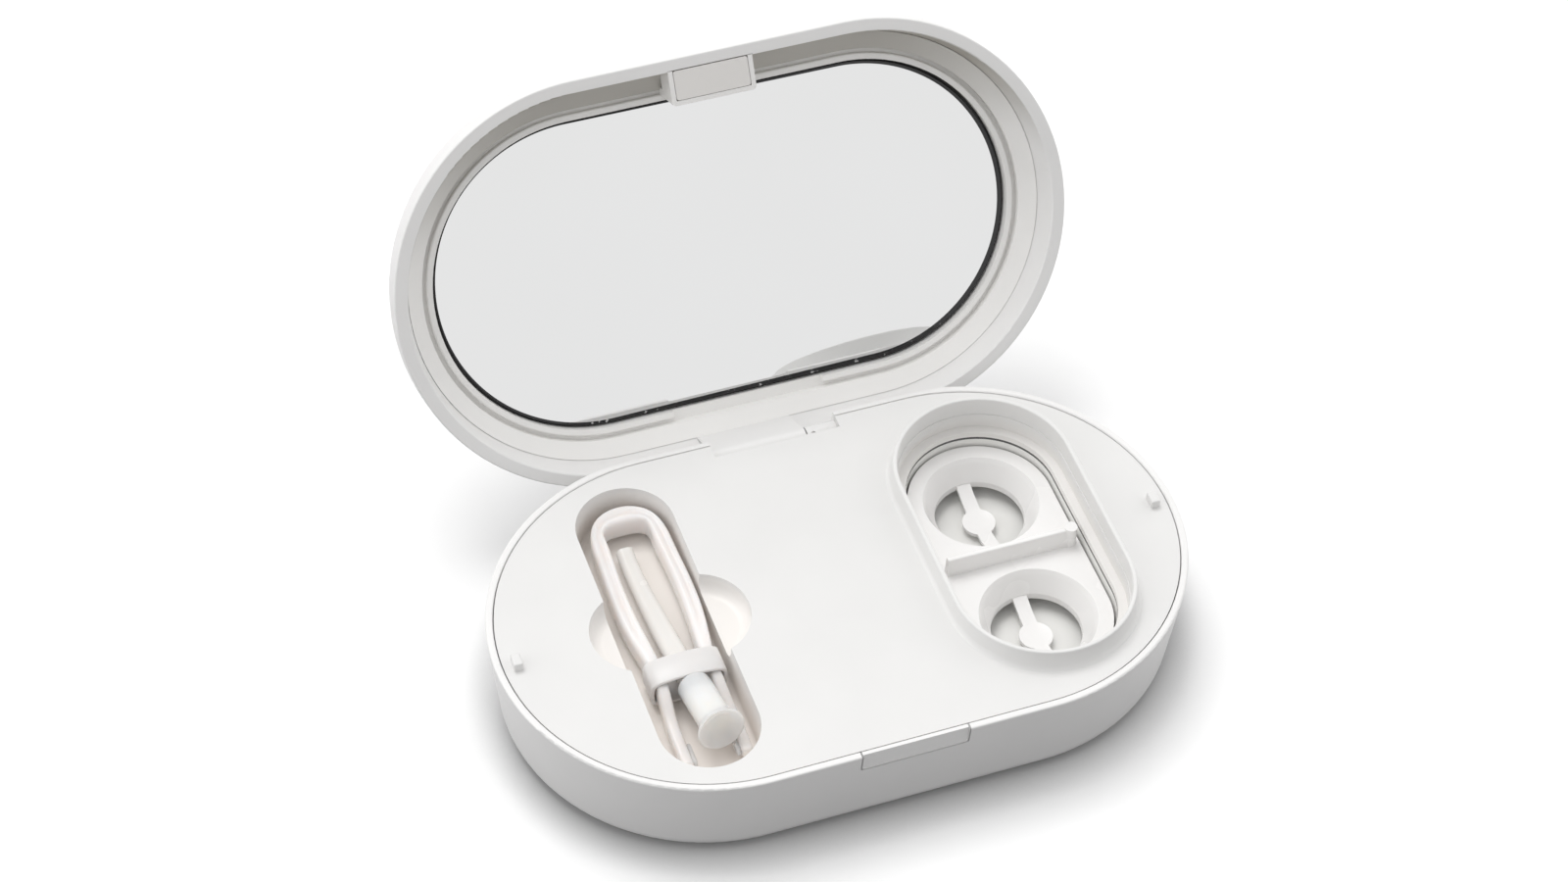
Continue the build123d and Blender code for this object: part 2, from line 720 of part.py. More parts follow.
def make_hinge_arm():
    rim = lid_z - hinge_z
    top = rim + lid_step_depth
    step_y = hinge_inset - lid_rim_width + arm_step
    foot_y = hinge_inset - lid_rim_width - lid_step_draft - liner_gap
    points = [(-barrel_radius, 0), (barrel_radius, 0), (barrel_radius, rim), (step_y, rim),
              (step_y, top), (foot_y, top)]
    points = [(hinge_y + y, hinge_z + z, 0) for y, z in points]
    arm = along_x(points, arm_left, arm_right)
    arm += axle(barrel_radius, arm_left, arm_right, hinge_y, hinge_z)
    arm -= axle(pin_radius + shaft_play, arm_left - 1, arm_right + 1, hinge_y, hinge_z)
    return arm


# ---------------------------------------------------------------- lid, drawn closed
def lid_shell_inside():
    inner = end_radius - lid_rim_width
    foot = inner - lid_step_draft
    return inner, foot, foot - liner_seat_width


def make_lid_shell():
    inner, foot, seat = lid_shell_inside()
    roof = lid_height - lid_top
    profile = section([(r, lid_z + d, c) for r, d, c in [
        (end_radius, 0, edge_round),
        (end_radius, lid_height, lid_corner),
        (0, lid_height, 0),
        (0, roof, 0),
        (seat - lid_crown_width, roof, 0),
        (seat, roof - lid_crown_height, 0),
        (seat, liner_seat_depth, 0),
        (foot, liner_seat_depth, 0),
        (foot, lid_step_depth, 0),
        (inner, 0, edge_round),
    ]])
    shell = racetrack(profile, straight)
    # notch for the latch block and pocket for the hinge arm
    side = latch_half + liner_gap
    shell -= block(-side, side, -latch_outer - liner_gap, -seat, lid_z - 1, lid_z + liner_seat_depth)
    step_y = hinge_inset - lid_rim_width + arm_step
    shell -= block(arm_left - liner_gap, arm_right + liner_gap, hinge_y - 2 * barrel_radius,
                   hinge_y + step_y + liner_gap, lid_z - 1, lid_z + lid_step_depth)
    return shell


def make_lid_liner():
    inner, foot, seat = lid_shell_inside()
    floor = mirror_depth + mirror_thickness
    shift = Pos(0, mirror_shift, 0)
    slope = (slope_foot_depth - lid_step_depth) / (foot - slope_foot_radius)
    liner_radius = foot - liner_gap
    pocket = mirror_radius + mirror_gap
    profile = section([(r, lid_z + d, c) for r, d, c in [
        (liner_radius, lid_step_depth, 0),
        (liner_radius, liner_seat_depth, 0),
        (seat - liner_gap, liner_seat_depth, 0),
        (seat - liner_gap, liner_seat_depth + liner_seat_wall, 0),
        (liner_foot_radius, liner_seat_depth + liner_foot_step, 0),
        (liner_foot_radius, floor, 0),
        (0, floor, 0),
        (0, lid_step_depth + slope * (liner_radius - pocket), 0),
        (pocket, lid_step_depth + slope * (liner_radius - pocket), 0),
    ]])
    liner = racetrack(profile, straight)
    # lip round the mirror, behind a groove
    lip_outer = pocket + lip_width
    trench = slab(lip_outer + groove_width, mirror_straight, lid_z, lid_z + groove_depth)
    liner -= shift * trench
    lip = racetrack(section([(r, lid_z + d, c) for r, d, c in [
        (pocket - 1, groove_depth, 0),
        (pocket - 1, lip_depth, 0),
        (lip_outer, lip_depth - lip_slope, edge_round),
        (lip_outer, groove_depth, 0),
    ]]), mirror_straight)
    # the lip is left out beside the hinge
    lip -= block(-window_half, window_half, pocket / 2, end_radius, lid_z, lid_z + groove_depth)
    liner += shift * lip
    liner -= shift * slab(pocket, mirror_straight, lid_z, lid_z + floor + 1)
    # latch block, open towards the shell, with a pocket for the plate and its magnet
    seated = (lid_step_depth + liner_seat_depth) / 2
    latch = along_x([(y, lid_z + d, 0) for y, d in [
        (-latch_outer, 0), (-latch_outer, seated), (-slope_foot_radius, seated),
        (-slope_foot_radius, mirror_depth), (-latch_inner, mirror_depth), (-latch_inner, 0)]],
        -latch_half, latch_half)
    liner += fillet(latch.edges().filter_by(Axis.Z).group_by(Axis.Y)[-1], latch_corner)
    plate_half = latch_half - plate_frame
    liner -= block(-plate_half, plate_half, -latch_outer - 1, -latch_inner - plate_frame,
                   lid_z - 1, lid_z + plate_thickness)
    middle = (latch_inner + latch_outer) / 2
    half_x = magnet_length / 2 + liner_gap
    half_y = magnet_width / 2 + liner_gap
    liner -= block(-half_x, half_x, -middle - half_y, -middle + half_y,
                   lid_z, lid_z + plate_thickness + magnet_height)
    return liner


def make_mirror():
    glass = slab(mirror_radius, mirror_straight, lid_z + mirror_depth,
                 lid_z + mirror_depth + mirror_thickness)
    return Pos(0, mirror_shift, 0) * chamfer(glass.edges().group_by(Axis.Z)[0], mirror_bevel)


def make_mirror_backing():
    low = lid_z + mirror_depth + mirror_thickness
    radius = mirror_radius + backing_margin
    return Pos(0, mirror_shift, 0) * slab(radius, mirror_straight, low, low + backing_thickness)


def make_latch_cover():
    half = latch_half - plate_frame - plate_gap
    plate = block(-half, half, -latch_outer + plate_gap, -latch_inner - plate_frame - plate_gap,
                  lid_z, lid_z + plate_thickness)
    return fillet(plate.edges().filter_by(Axis.Z), plate_corner)


def make_lid_magnet():
    middle = (latch_inner + latch_outer) / 2
    return block(-magnet_length / 2, magnet_length / 2, -middle - magnet_width / 2,
                 -middle + magnet_width / 2, lid_z + plate_thickness,
                 lid_z + plate_thickness + magnet_height)


# ---------------------------------------------------------------- lens tools
def tweezers_spine(side):
    """Points up the right arm, on its middle line or a share of its thickness to one side."""
    # across, along, share of the full thickness
    arm = [(5.95, tip_y, 0.7), (5.85, -18.0, 0.75), (arm_at_band, stick_y, band_share),
           (6.3, 1.5, 1.0), (6.75, 13.0, 1.0), (6.45, 21.5, 1.0)]
    return [(x + side * arm_thickness / 2 * share, y) for x, y, share in arm]


def tweezers_edge(side, start=0):
    """Curve from the left tip round the bend to the right tip; side is 1 outside, -1 inside."""
    right = tweezers_spine(side)[start:]
    bend = bend_radius - (1 - side) * arm_thickness / 2
    slant = bend * sin(radians(45))
    back = bend_y - (1 - side) * bend_thickness / 2
    if side < 0:
        right.append((bend_inside, back - bend_inside / 2))
    else:
        right.append((slant, bend_y - bend_radius + slant))
    left = [(-x, y) for x, y in right]
    return Spline(*left, (0, back), *right[::-1])


def recess_floor_z():
    return deck_z - recess_depth


def tool_z():
    """Underside of the tweezers, which lie on the band's wall."""
    return recess_floor_z() + tool_gap + band_wall


def tip_slope():
    """What is cut off above the arms' sloping ends."""
    rise = (tool_height - slope_foot_height) / (slope_back - slope_foot)
    above = tool_height + rise * tip_length
    return along_x([(slope_back + tip_length, above, 0), (slope_foot, slope_foot_height, slope_bend),
                    (tip_y - 1, tip_height, 0), (tip_y - 1, above, 0)], -case_width, case_width)


def make_tweezers():
    outer, inner = tweezers_edge(1), tweezers_edge(-1)
    tips = [Line(outer @ end, inner @ end) for end in (0, 1)]
    body = extrude(make_face([outer, inner] + tips), amount=tool_height)
    long_edges = body.edges().filter_by(GeomType.BSPLINE)
    body = fillet(long_edges.group_by(Axis.Z)[-1] + long_edges.group_by(Axis.Z)[0], tool_round)
    # round groove along the middle of both faces, behind the band
    path = tweezers_edge(0, start=3)
    groove = sweep(Plane(origin=path @ 0, z_dir=path % 0) * Circle(groove_radius), path=path)
    body -= groove
    body -= Pos(0, 0, tool_height) * groove
    body -= tip_slope()
    return Pos(tool_x, 0, tool_z()) * body


def make_tweezer_tips():
    """Soft pads on the inner faces of the two arms, behind their ends, with flat gripping faces."""
    inner = tweezers_edge(-1)
    between = extrude(make_face([inner, Line(inner @ 0, inner @ 1)]), amount=tool_height)
    between -= tip_slope()
    tips = []
    for side in (-1, 1):
        x0, x1 = sorted((side * tip_face, side * arm_at_band * 1.5))
        pad = block(x0, x1, tip_y + tip_inset, tip_y + tip_inset + tip_length, tip_inset, tip_height - tip_inset)
        pad = fillet(pad.edges().filter_by(Axis.X), tip_round)
        tips.append(Pos(tool_x, 0, tool_z()) * (pad & between))
    return tips


def band_profile(inset):
    """Soft band drawn round both arms, a little higher over the stick."""
    half = arm_at_band + arm_thickness * band_share / 2 + 2 * band_gap + band_wall - inset
    low = tool_gap + inset
    shoulder = tool_z() - recess_floor_z() + tool_height + band_gap + band_wall - inset
    corner = tool_round + band_wall - inset
    return section([
        (-half, low, corner), (half, low, corner), (half, shoulder, corner),
        (0, shoulder + band_crown, 2 * arm_at_band), (-half, shoulder, corner)])


def make_tool_band():
    ring = extrude(band_profile(0), amount=band_back - band_front)
    ring -= extrude(band_profile(band_wall), amount=band_back - band_front)
    return Pos(tool_x, band_back, recess_floor_z()) * ring


def before_band(shape):
    """Lay a piece made along the Y axis in line with the front of the stick."""
    place = Pos(stick_x, stick_y, recess_floor_z() + stick_height) * Rot(-stick_pitch, 0, stick_yaw)
    return place * Pos(0, -stick_y, 0) * shape


def make_stick_handle():
    """Flat bent handle that grows into the round neck inside the soft head."""
    def slice_across(width, height):
        plane = Plane(origin=(0, 0, 0), x_dir=(1, 0, 0), z_dir=(0, -1, 0))
        return plane * RectangleRounded(width, height, min(width, height) / 2 - 0.05)
    neck = 2 * neck_radius
    low = recess_floor_z() + stick_back_height
    slices = [
        Pos(stick_back_x, stick_back, low) * slice_across(3.6, 2.6),
        Pos(stick_back_x, stick_back - 9.0, low) * slice_across(3.8, 2.7),
        Pos(stick_back_x + 0.6, 6.0, low + 0.5) * slice_across(4.4, 3.0),
        before_band(Pos(0, stick_y, 0) * slice_across(4.8, 3.6)),
        before_band(Pos(0, head_back - 3.0, 0) * slice_across(neck, neck)),
    ]
    return loft(slices)


def make_suction_cup():
    """Soft round head on the stick's neck, flared into a hollow cup."""
    length = head_length + cup_flare
    profile = section([
        (0, 0, 0), (head_radius, 0, 0.5), (head_radius, head_length, 1.5),
        (cup_radius, length - cup_wall, 0), (cup_radius, length, 0),
        (cup_radius - cup_wall, length, 0), (cup_base, length - cup_depth, 0.8), (0, length - cup_depth, 0)])
    cup = Pos(0, head_back, 0) * Rot(90, 0, 0) * revolve(profile, Axis.Z)
    return before_band(cup) - make_stick_handle()


# ---------------------------------------------------------------- all pieces
def make_all():
    fixed = {
        "base_shell": make_base_shell(),
        "non_slip_pad": make_non_slip_pad(),
        "deck_panel": make_deck_panel(),
        "cleaning_bowl": make_cleaning_bowl(),
        "bowl_gasket": make_bowl_gasket(),
        "bowl_screws": make_bowl_screws(),
        "ultrasonic_transducer": make_transducer(),
        "transducer_leads": make_transducer_leads(),
        "circuit_board": make_circuit_board(),
        "board_parts": make_board_parts(),
        "board_screws": make_board_screws(),
        "charging_socket": make_charging_socket(),
        "touch_pad": make_touch_pad(),
        "touch_lead": make_touch_lead(),
        "battery_cell": make_battery_cell(),
        "battery_pad": make_battery_pad(),
        "battery_leads": make_battery_leads(),
        "base_magnet": make_base_magnet(),
        "base_screws": make_base_screws(),
        "hinge_pin": make_hinge_pin(),
        "hinge_bush": make_hinge_bush(),
        "lens_basket": make_lens_basket(),
        "tweezers": make_tweezers(),
        "tweezer_tips": make_tweezer_tips(),
        "tool_band": make_tool_band(),
        "stick_handle": make_stick_handle(),
        "suction_cup": make_suction_cup(),
    }
    lid = {
        "lid_shell": make_lid_shell(),
        "lid_liner": make_lid_liner(),
        "mirror": make_mirror(),
        "mirror_backing": make_mirror_backing(),
        "latch_cover": make_latch_cover(),
        "lid_magnet": make_lid_magnet(),
        "hinge_arm": make_hinge_arm(),
    }
    return fixed | {name: opened(shape) for name, shape in lid.items()}


def main():
    os.makedirs("parts", exist_ok=True)
    for name, shape in make_all().items():
        whole = Compound(children=shape) if isinstance(shape, list) else shape
        export_step(whole, f"parts/{name}.step")
        print(name, len(whole.solids()), "solid(s)")


if __name__ == "__main__":
    main()
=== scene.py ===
from math import cos, pi, radians, sin

import bmesh
import bpy
import numpy as np
from bpy.props import FloatProperty, FloatVectorProperty, PointerProperty
from mathutils import Matrix, Vector


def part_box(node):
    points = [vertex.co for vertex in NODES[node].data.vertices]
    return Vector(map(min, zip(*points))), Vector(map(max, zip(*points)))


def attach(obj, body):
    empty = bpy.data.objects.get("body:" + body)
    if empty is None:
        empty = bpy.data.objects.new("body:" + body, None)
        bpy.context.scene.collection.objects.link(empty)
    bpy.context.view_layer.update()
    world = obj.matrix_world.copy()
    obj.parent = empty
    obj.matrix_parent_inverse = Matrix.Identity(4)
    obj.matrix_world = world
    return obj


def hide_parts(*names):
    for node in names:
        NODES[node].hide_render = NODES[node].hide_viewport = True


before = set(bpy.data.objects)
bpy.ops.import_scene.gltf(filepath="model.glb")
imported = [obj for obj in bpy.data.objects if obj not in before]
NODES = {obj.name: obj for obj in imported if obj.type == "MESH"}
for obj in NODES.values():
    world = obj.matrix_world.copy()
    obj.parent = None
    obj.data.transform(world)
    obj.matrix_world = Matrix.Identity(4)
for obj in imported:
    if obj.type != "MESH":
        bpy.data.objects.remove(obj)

bl_info = {
    "name": "Contact lens cleaner",
    "version": (1, 0, 0),
    "blender": (4, 5, 0),
    "location": "3D View > Sidebar > Lens cleaner",
    "description": "Gives the lens cleaning case its finishes, its soft tools and its studio",
    "category": "Object",
}

MM = 0.001
DECK_Z = 0.022                              # face of the deck panel
RECESS_X, RECESS_Z = -0.0361, 0.0124        # middle and floor of the tool recess
ARMS_X, ARMS_Z = -0.0353, 0.0135            # middle and underside of the tweezers
BAND_Y = -9.2                               # middle of the band, in mm as all of the soft tools
LID_OPENING = 118.9                         # degrees
LID_TILT = cos(radians(LID_OPENING - 90))   # rise of the open lid over a length along it
DOWN_THE_LID = (0.0, -0.483, -0.8755)       # direction along the open lid, towards its hinge
MIRROR_HEIGHT = 0.0644                      # along the lid
LOOKED_AT = Vector((0.000068, 0.034125, 0.026275))      # what the camera points at
SENSOR_WIDTH = 36.0                         # mm
LAMP_WAY = Vector((-0.12, 0.40, 0.91))      # towards the key light
LAMP_SPREAD = radians(30)
GLOSS_SCALE = 45.0                          # of the slow change of gloss, per metre
SPECK_SCALE = 900.0                         # of the specks along the mirror's edge, per metre
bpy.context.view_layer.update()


# ------------------------------------------------------------------ settings
def colour_property(name, description, default):
    return FloatVectorProperty(
        name=name, description=description, default=default, size=3, min=0.0, max=1.0, subtype="COLOR"
    )


def length_property(name, description, default):
    return FloatProperty(
        name=name, description=description, default=default, min=0.0, unit="LENGTH", subtype="DISTANCE"
    )


def angle_property(name, description, degrees):
    return FloatProperty(
        name=name, description=description, default=radians(degrees), subtype="ANGLE", unit="ROTATION"
    )


class CaseSettings(bpy.types.PropertyGroup):
    shell_colour: colour_property("Case", "Tub and lid", (0.84, 0.833, 0.825))
    deck_colour: colour_property("Deck", "Panel over the base", (0.765, 0.76, 0.75))
    # painted light: lighter, warmer colour standing in for warm bounce light on the deck's walls below its face
    hollow_painted_light_colour: colour_property("Hollows", "The deck panel's walls below its face", (0.94, 0.895, 0.85))
    liner_colour: colour_property("Liner", "Inner frame of the lid", (0.90, 0.89, 0.872))
    # painted shade: dark warm colour standing in for the shade on the lid's inner walls that face down and
    # forward
    painted_shade_colour: colour_property("Upper wall", "Inner wall of the lid that faces down", (0.36, 0.34, 0.295))
    cover_colour: colour_property("Cover", "Small plate in the latch block", (0.83, 0.81, 0.785))
    notch_step: length_property("Notch", "Depth of the step round the finger notch", 0.0012)
    grain_size: length_property("Grain", "Size of the spark grain of the moulded plastic", 0.00035)
    grain_depth: length_property("Grain depth", "Depth of that grain", 0.000006)


class BowlSettings(bpy.types.PropertyGroup):
    bowl_colour: colour_property("Bowl", "Cleaning bowl", (0.88, 0.875, 0.85))
    basket_colour: colour_property("Basket", "Lens basket", (0.92, 0.91, 0.90))


class ToolSettings(bpy.types.PropertyGroup):
    clear_colour: colour_property("Clear plastic", "Tweezers", (0.91, 0.878, 0.868))
    silicone_colour: colour_property("Clear silicone", "Tips, head and suction cup", (0.97, 0.93, 0.91))
    band_colour: colour_property("Band", "Silicone band", (0.76, 0.745, 0.735))
    stick_colour: colour_property("Stick", "Handle of the suction stick", (0.85, 0.83, 0.80))
    roundness: FloatProperty(
        name="Roundness", description="Power of the arms' rounded section", default=3.8, min=2.0, max=6.0
    )
    groove: length_property("Groove", "Depth of the groove along the arms", 0.0006)
    edge: length_property("Band edge", "Rounding of the band's edges", 0.00038)


class StudioSettings(bpy.types.PropertyGroup):
    floor_size: length_property("Floor", "Side of the square floor", 6.0)
    lens: FloatProperty(name="Lens", description="Focal length in mm on a 36 mm sensor", default=82.69, min=1.0)
    distance: length_property("Distance", "From the camera to what it looks at", 0.7274)
    turn: angle_property("Turn", "Camera round the case", -21.159)
    height: angle_property("Height", "Camera above the horizon", 48.379)
    roll: angle_property("Roll", "Camera about its own axis", 2.378)
    sky: FloatProperty(name="Sky", description="Soft light from behind", default=0.64, min=0.0)
    sky_front: FloatProperty(
        name="Front", description="Soft light from the side of the camera", default=0.39, min=0.0
    )
    sky_sides: FloatProperty(
        name="Sides", description="Added light from the left and right", default=1.22, min=0.0
    )
    lamp: FloatProperty(name="Lamp", description="Key light from above", default=1.12, min=0.0)


# ------------------------------------------------------------------ node groups
def group(name, inputs, outputs):
    """Empty shader group with (name, kind, default) inputs and (name, kind) outputs."""
    made = bpy.data.node_groups.new(name, "ShaderNodeTree")
    for label, kind, default in inputs:
        socket = made.interface.new_socket(label, in_out="INPUT", socket_type=kind)
        socket.default_value = default
    for label, kind in outputs:
        made.interface.new_socket(label, in_out="OUTPUT", socket_type=kind)
    made.nodes.new("NodeGroupInput")
    made.nodes.new("NodeGroupOutput")
    return made, made.nodes["Group Input"], made.nodes["Group Output"]


def calculate(tree, operation, *values):
    """Maths node on sockets and numbers."""
    node = tree.nodes.new("ShaderNodeMath")
    node.operation = operation
    for place, value in enumerate(values):
        if isinstance(value, bpy.types.NodeSocket):
            tree.links.new(value, node.inputs[place])
        else:
            node.inputs[place].default_value = value
    return node.outputs[0]


def reciprocal(tree, socket):
    return calculate(tree, "DIVIDE", 1.0, socket)


def noise(tree, vector, scale, detail=2.0, roughness=0.5):
    """Noise value at a vector; the scale is a number or a socket."""
    node = tree.nodes.new("ShaderNodeTexNoise")
    node.inputs["Detail"].default_value = detail
    node.inputs["Roughness"].default_value = roughness
    tree.links.new(vector, node.inputs["Vector"])
    if isinstance(scale, (int, float)):
        node.inputs["Scale"].default_value = scale
    else:
        tree.links.new(scale, node.inputs["Scale"])
    return node.outputs["Fac"]


def remap(tree, socket, low, high, to_low=0.0, to_high=1.0):
    """Value taken from the range low to high to another, held at its ends; a limit is a number or a socket."""
    node = tree.nodes.new("ShaderNodeMapRange")
    tree.links.new(socket, node.inputs["Value"])
    for label, value in (("From Min", low), ("From Max", high), ("To Min", to_low), ("To Max", to_high)):
        if isinstance(value, (int, float)):
            node.inputs[label].default_value = value
        else:
            tree.links.new(value, node.inputs[label])
    return node.outputs["Result"]


def mix_colour(tree, factor, a, b):
    """Colour a where the factor is 0 and b where it is 1."""
    node = tree.nodes.new("ShaderNodeMix")
    node.data_type = "RGBA"
    tree.links.new(factor, node.inputs["Factor"])
    for label, value in (("A", a), ("B", b)):
        socket = next(s for s in node.inputs if s.name == label and s.type == "RGBA")
        if isinstance(value, bpy.types.NodeSocket):
            tree.links.new(value, socket)
        else:
            socket.default_value = (*value, 1.0)
    return next(s for s in node.outputs if s.type == "RGBA")


def object_place(tree):
    """X, Y and Z of the point in the piece's own frame."""
    node = tree.nodes.new("ShaderNodeSeparateXYZ")
    tree.links.new(tree.nodes.new("ShaderNodeTexCoord").outputs["Object"], node.inputs[0])
    return node.outputs


def make_grain_group():
    """Spark grain of a mould: a fine even texture, and a slow change of gloss over it."""
    tree, given, out = group(
        "Moulded grain",
        [("Size", "NodeSocketFloat", 0.0004), ("Gloss Low", "NodeSocketFloat", 0.35),
         ("Gloss High", "NodeSocketFloat", 0.45)],
        [("Height", "NodeSocketFloat"), ("Roughness", "NodeSocketFloat")],
    )
    place = tree.nodes.new("ShaderNodeTexCoord").outputs["Object"]
    fine = noise(tree, place, reciprocal(tree, given.outputs["Size"]), detail=3.0, roughness=0.6)
    slow = noise(tree, place, GLOSS_SCALE, detail=3.0)
    gloss = remap(tree, slow, 0.35, 0.65, given.outputs["Gloss Low"], given.outputs["Gloss High"])
    tree.links.new(fine, out.inputs["Height"])
    tree.links.new(gloss, out.inputs["Roughness"])


def make_shade_group():
    """Slight cloudiness of a moulded colour."""
    tree, given, out = group(
        "Cloudy colour",
        [("Light", "NodeSocketColor", (0.9, 0.9, 0.9, 1)), ("Dark", "NodeSocketColor", (0.85, 0.85, 0.85, 1)),
         ("Size", "NodeSocketFloat", 0.02)],
        [("Color", "NodeSocketColor")],
    )
    place = tree.nodes.new("ShaderNodeTexCoord").outputs["Object"]
    slow = noise(tree, place, reciprocal(tree, given.outputs["Size"]), detail=4.0)
    share = remap(tree, slow, 0.3, 0.7)
    tree.links.new(mix_colour(tree, share, given.outputs["Dark"], given.outputs["Light"]), out.inputs["Color"])


def make_streak_group():
    """Streaks along Y: flow lines in clear plastic, or the brushing of metal."""
    tree, given, out = group(
        "Streaks",
        [("Width", "NodeSocketFloat", 0.0004), ("Stretch", "NodeSocketFloat", 0.08)],
        [("Height", "NodeSocketFloat"), ("Mask", "NodeSocketFloat")],
    )
    place = tree.nodes.new("ShaderNodeTexCoord").outputs["Object"]
    along = tree.nodes.new("ShaderNodeCombineXYZ")
    along.inputs["X"].default_value = along.inputs["Z"].default_value = 1.0
    tree.links.new(given.outputs["Stretch"], along.inputs["Y"])
    drawn = tree.nodes.new("ShaderNodeVectorMath")
    drawn.operation = "MULTIPLY"
    tree.links.new(place, drawn.inputs[0])
    tree.links.new(along.outputs[0], drawn.inputs[1])
    lines = noise(tree, drawn.outputs[0], reciprocal(tree, given.outputs["Width"]))
    tree.links.new(lines, out.inputs["Height"])
    tree.links.new(remap(tree, lines, 0.4, 0.65), out.inputs["Mask"])


def make_depth_group():
    """Mask for the painted warm bounce light in the deck's hollows: 0 on a face at the given height and 1 from
    Reach below it; about half as much past the right end.
    """
    tree, given, out = group(
        "Depth below a face",
        [("Height", "NodeSocketFloat", 0.022), ("Reach", "NodeSocketFloat", 0.002),
         ("Right End", "NodeSocketFloat", 0.0)],
        [("Mask", "NodeSocketFloat")],
    )
    start, share_past_end = 0.0002, 0.55
    place = object_place(tree)
    depth = calculate(tree, "SUBTRACT", given.outputs["Height"], place["Z"])
    deep = remap(tree, depth, start, given.outputs["Reach"])
    left = calculate(tree, "LESS_THAN", place["X"], given.outputs["Right End"])
    share = calculate(tree, "MINIMUM", calculate(tree, "ADD", left, share_past_end), 1.0)
    tree.links.new(calculate(tree, "MULTIPLY", deep, share), out.inputs["Mask"])


def make_rim_group():
    """Dark edge of a stadium-shaped plate, wider towards +X and where it is low, with bright specks in it."""
    tree, given, out = group(
        "Dark plate edge",
        [("Straight", "NodeSocketFloat", 0.03), ("Radius", "NodeSocketFloat", 0.03),
         ("Middle Z", "NodeSocketFloat", 0.05), ("Tilt", "NodeSocketFloat", 0.8755),
         ("Width", "NodeSocketFloat", 0.0006)],
        [("Mask", "NodeSocketFloat"), ("Specks", "NodeSocketFloat")],
    )
    coordinates = tree.nodes.new("ShaderNodeTexCoord").outputs["Object"]
    place = tree.nodes.new("ShaderNodeSeparateXYZ")
    tree.links.new(coordinates, place.inputs[0])
    aside = calculate(tree, "ABSOLUTE", place.outputs["X"])
    past = calculate(tree, "MAXIMUM", calculate(tree, "SUBTRACT", aside, given.outputs["Straight"]), 0.0)
    up = calculate(tree, "SUBTRACT", place.outputs["Z"], given.outputs["Middle Z"])
    up = calculate(tree, "DIVIDE", up, given.outputs["Tilt"])
    far = calculate(tree, "SQRT", calculate(
        tree, "ADD", calculate(tree, "MULTIPLY", past, past), calculate(tree, "MULTIPLY", up, up)))
    inside = calculate(tree, "SUBTRACT", given.outputs["Radius"], far)
    right_share = remap(tree, place.outputs["X"], -0.05, 0.055, 0.25, 1.0)
    low_share = remap(tree, up, -0.03, 0.02, 0.55, 0.0)
    share = calculate(tree, "ADD", right_share, low_share)
    width = calculate(tree, "MULTIPLY", given.outputs["Width"], share)
    tree.links.new(calculate(tree, "LESS_THAN", inside, width), out.inputs["Mask"])
    specks = noise(tree, coordinates, SPECK_SCALE, detail=3.0, roughness=0.6)
    specks = calculate(tree, "MULTIPLY", specks, remap(tree, up, -0.03, -0.01, 1.0, 0.8))
    tree.links.new(remap(tree, specks, 0.64, 0.70), out.inputs["Specks"])


def make_painted_shade_group():
    """Mask for painted shade: 1 where a surface faces Way in the piece's own frame, from a little above Foot.
    """
    tree, given, out = group(
        "Painted shade share",
        [("Way", "NodeSocketVector", DOWN_THE_LID), ("From", "NodeSocketFloat", 0.15),
         ("To", "NodeSocketFloat", 0.75), ("Foot", "NodeSocketFloat", 0.045)],
        [("Mask", "NodeSocketFloat")],
    )
    coordinates = tree.nodes.new("ShaderNodeTexCoord")
    dot = tree.nodes.new("ShaderNodeVectorMath")
    dot.operation = "DOT_PRODUCT"
    tree.links.new(coordinates.outputs["Normal"], dot.inputs[0])
    tree.links.new(given.outputs["Way"], dot.inputs[1])
    facing = remap(tree, dot.outputs["Value"], given.outputs["From"], given.outputs["To"])
    place = tree.nodes.new("ShaderNodeSeparateXYZ")
    tree.links.new(coordinates.outputs["Object"], place.inputs[0])
    height = calculate(tree, "SUBTRACT", place.outputs["Z"], given.outputs["Foot"])
    tree.links.new(calculate(tree, "MULTIPLY", facing, remap(tree, height, 0.0, 0.02)), out.inputs["Mask"])


def make_notch_group():
    """Step round the finger notch: 0 in the notch, 1 on the wall about it."""
    tree, given, out = group(
        "Notch step",
        [("Half Length", "NodeSocketFloat", 0.0108), ("Foot", "NodeSocketFloat", 0.0178),
         ("Corner", "NodeSocketFloat", 0.001), ("Wall", "NodeSocketFloat", -0.040)],
        [("Height", "NodeSocketFloat")],
    )
    steepness = 100.0       # so that nothing behind the front wall counts as in the notch
    place = object_place(tree)
    beside = calculate(tree, "SUBTRACT", calculate(tree, "ABSOLUTE", place["X"]), given.outputs["Half Length"])
    below = calculate(tree, "SUBTRACT", given.outputs["Foot"], place["Z"])
    out_of_it = calculate(tree, "SMOOTH_MAX", beside, below, given.outputs["Corner"])
    behind = calculate(tree, "MAXIMUM", calculate(tree, "SUBTRACT", place["Y"], given.outputs["Wall"]), 0.0)
    distance = calculate(tree, "ADD", out_of_it, calculate(tree, "MULTIPLY", behind, steepness))
    tree.links.new(remap(tree, distance, -0.00005, 0.0003), out.inputs["Height"])


def use_group(tree, name, **values):
    """Node of a group, with its inputs set; an underscore stands for a space."""
    node = tree.nodes.new("ShaderNodeGroup")
    node.node_tree = bpy.data.node_groups[name]
    for label, value in values.items():
        socket = node.inputs[label.replace("_", " ")]
        if isinstance(value, (tuple, list)):
            value = (*value, 1.0)[: len(socket.default_value)]
        socket.default_value = value
    return node


def make_groups():
    for maker in (make_grain_group, make_shade_group, make_streak_group, make_depth_group, make_rim_group,
                  make_painted_shade_group, make_notch_group):
        maker()


# ------------------------------------------------------------------ materials
def darker(colour, share):
    return tuple(c * (1 - share) for c in colour)


def new_material(name):
    """A material, its node tree and its shader."""
    made = bpy.data.materials.new(name)
    made.use_nodes = True
    return made, made.node_tree, made.node_tree.nodes["Principled BSDF"]


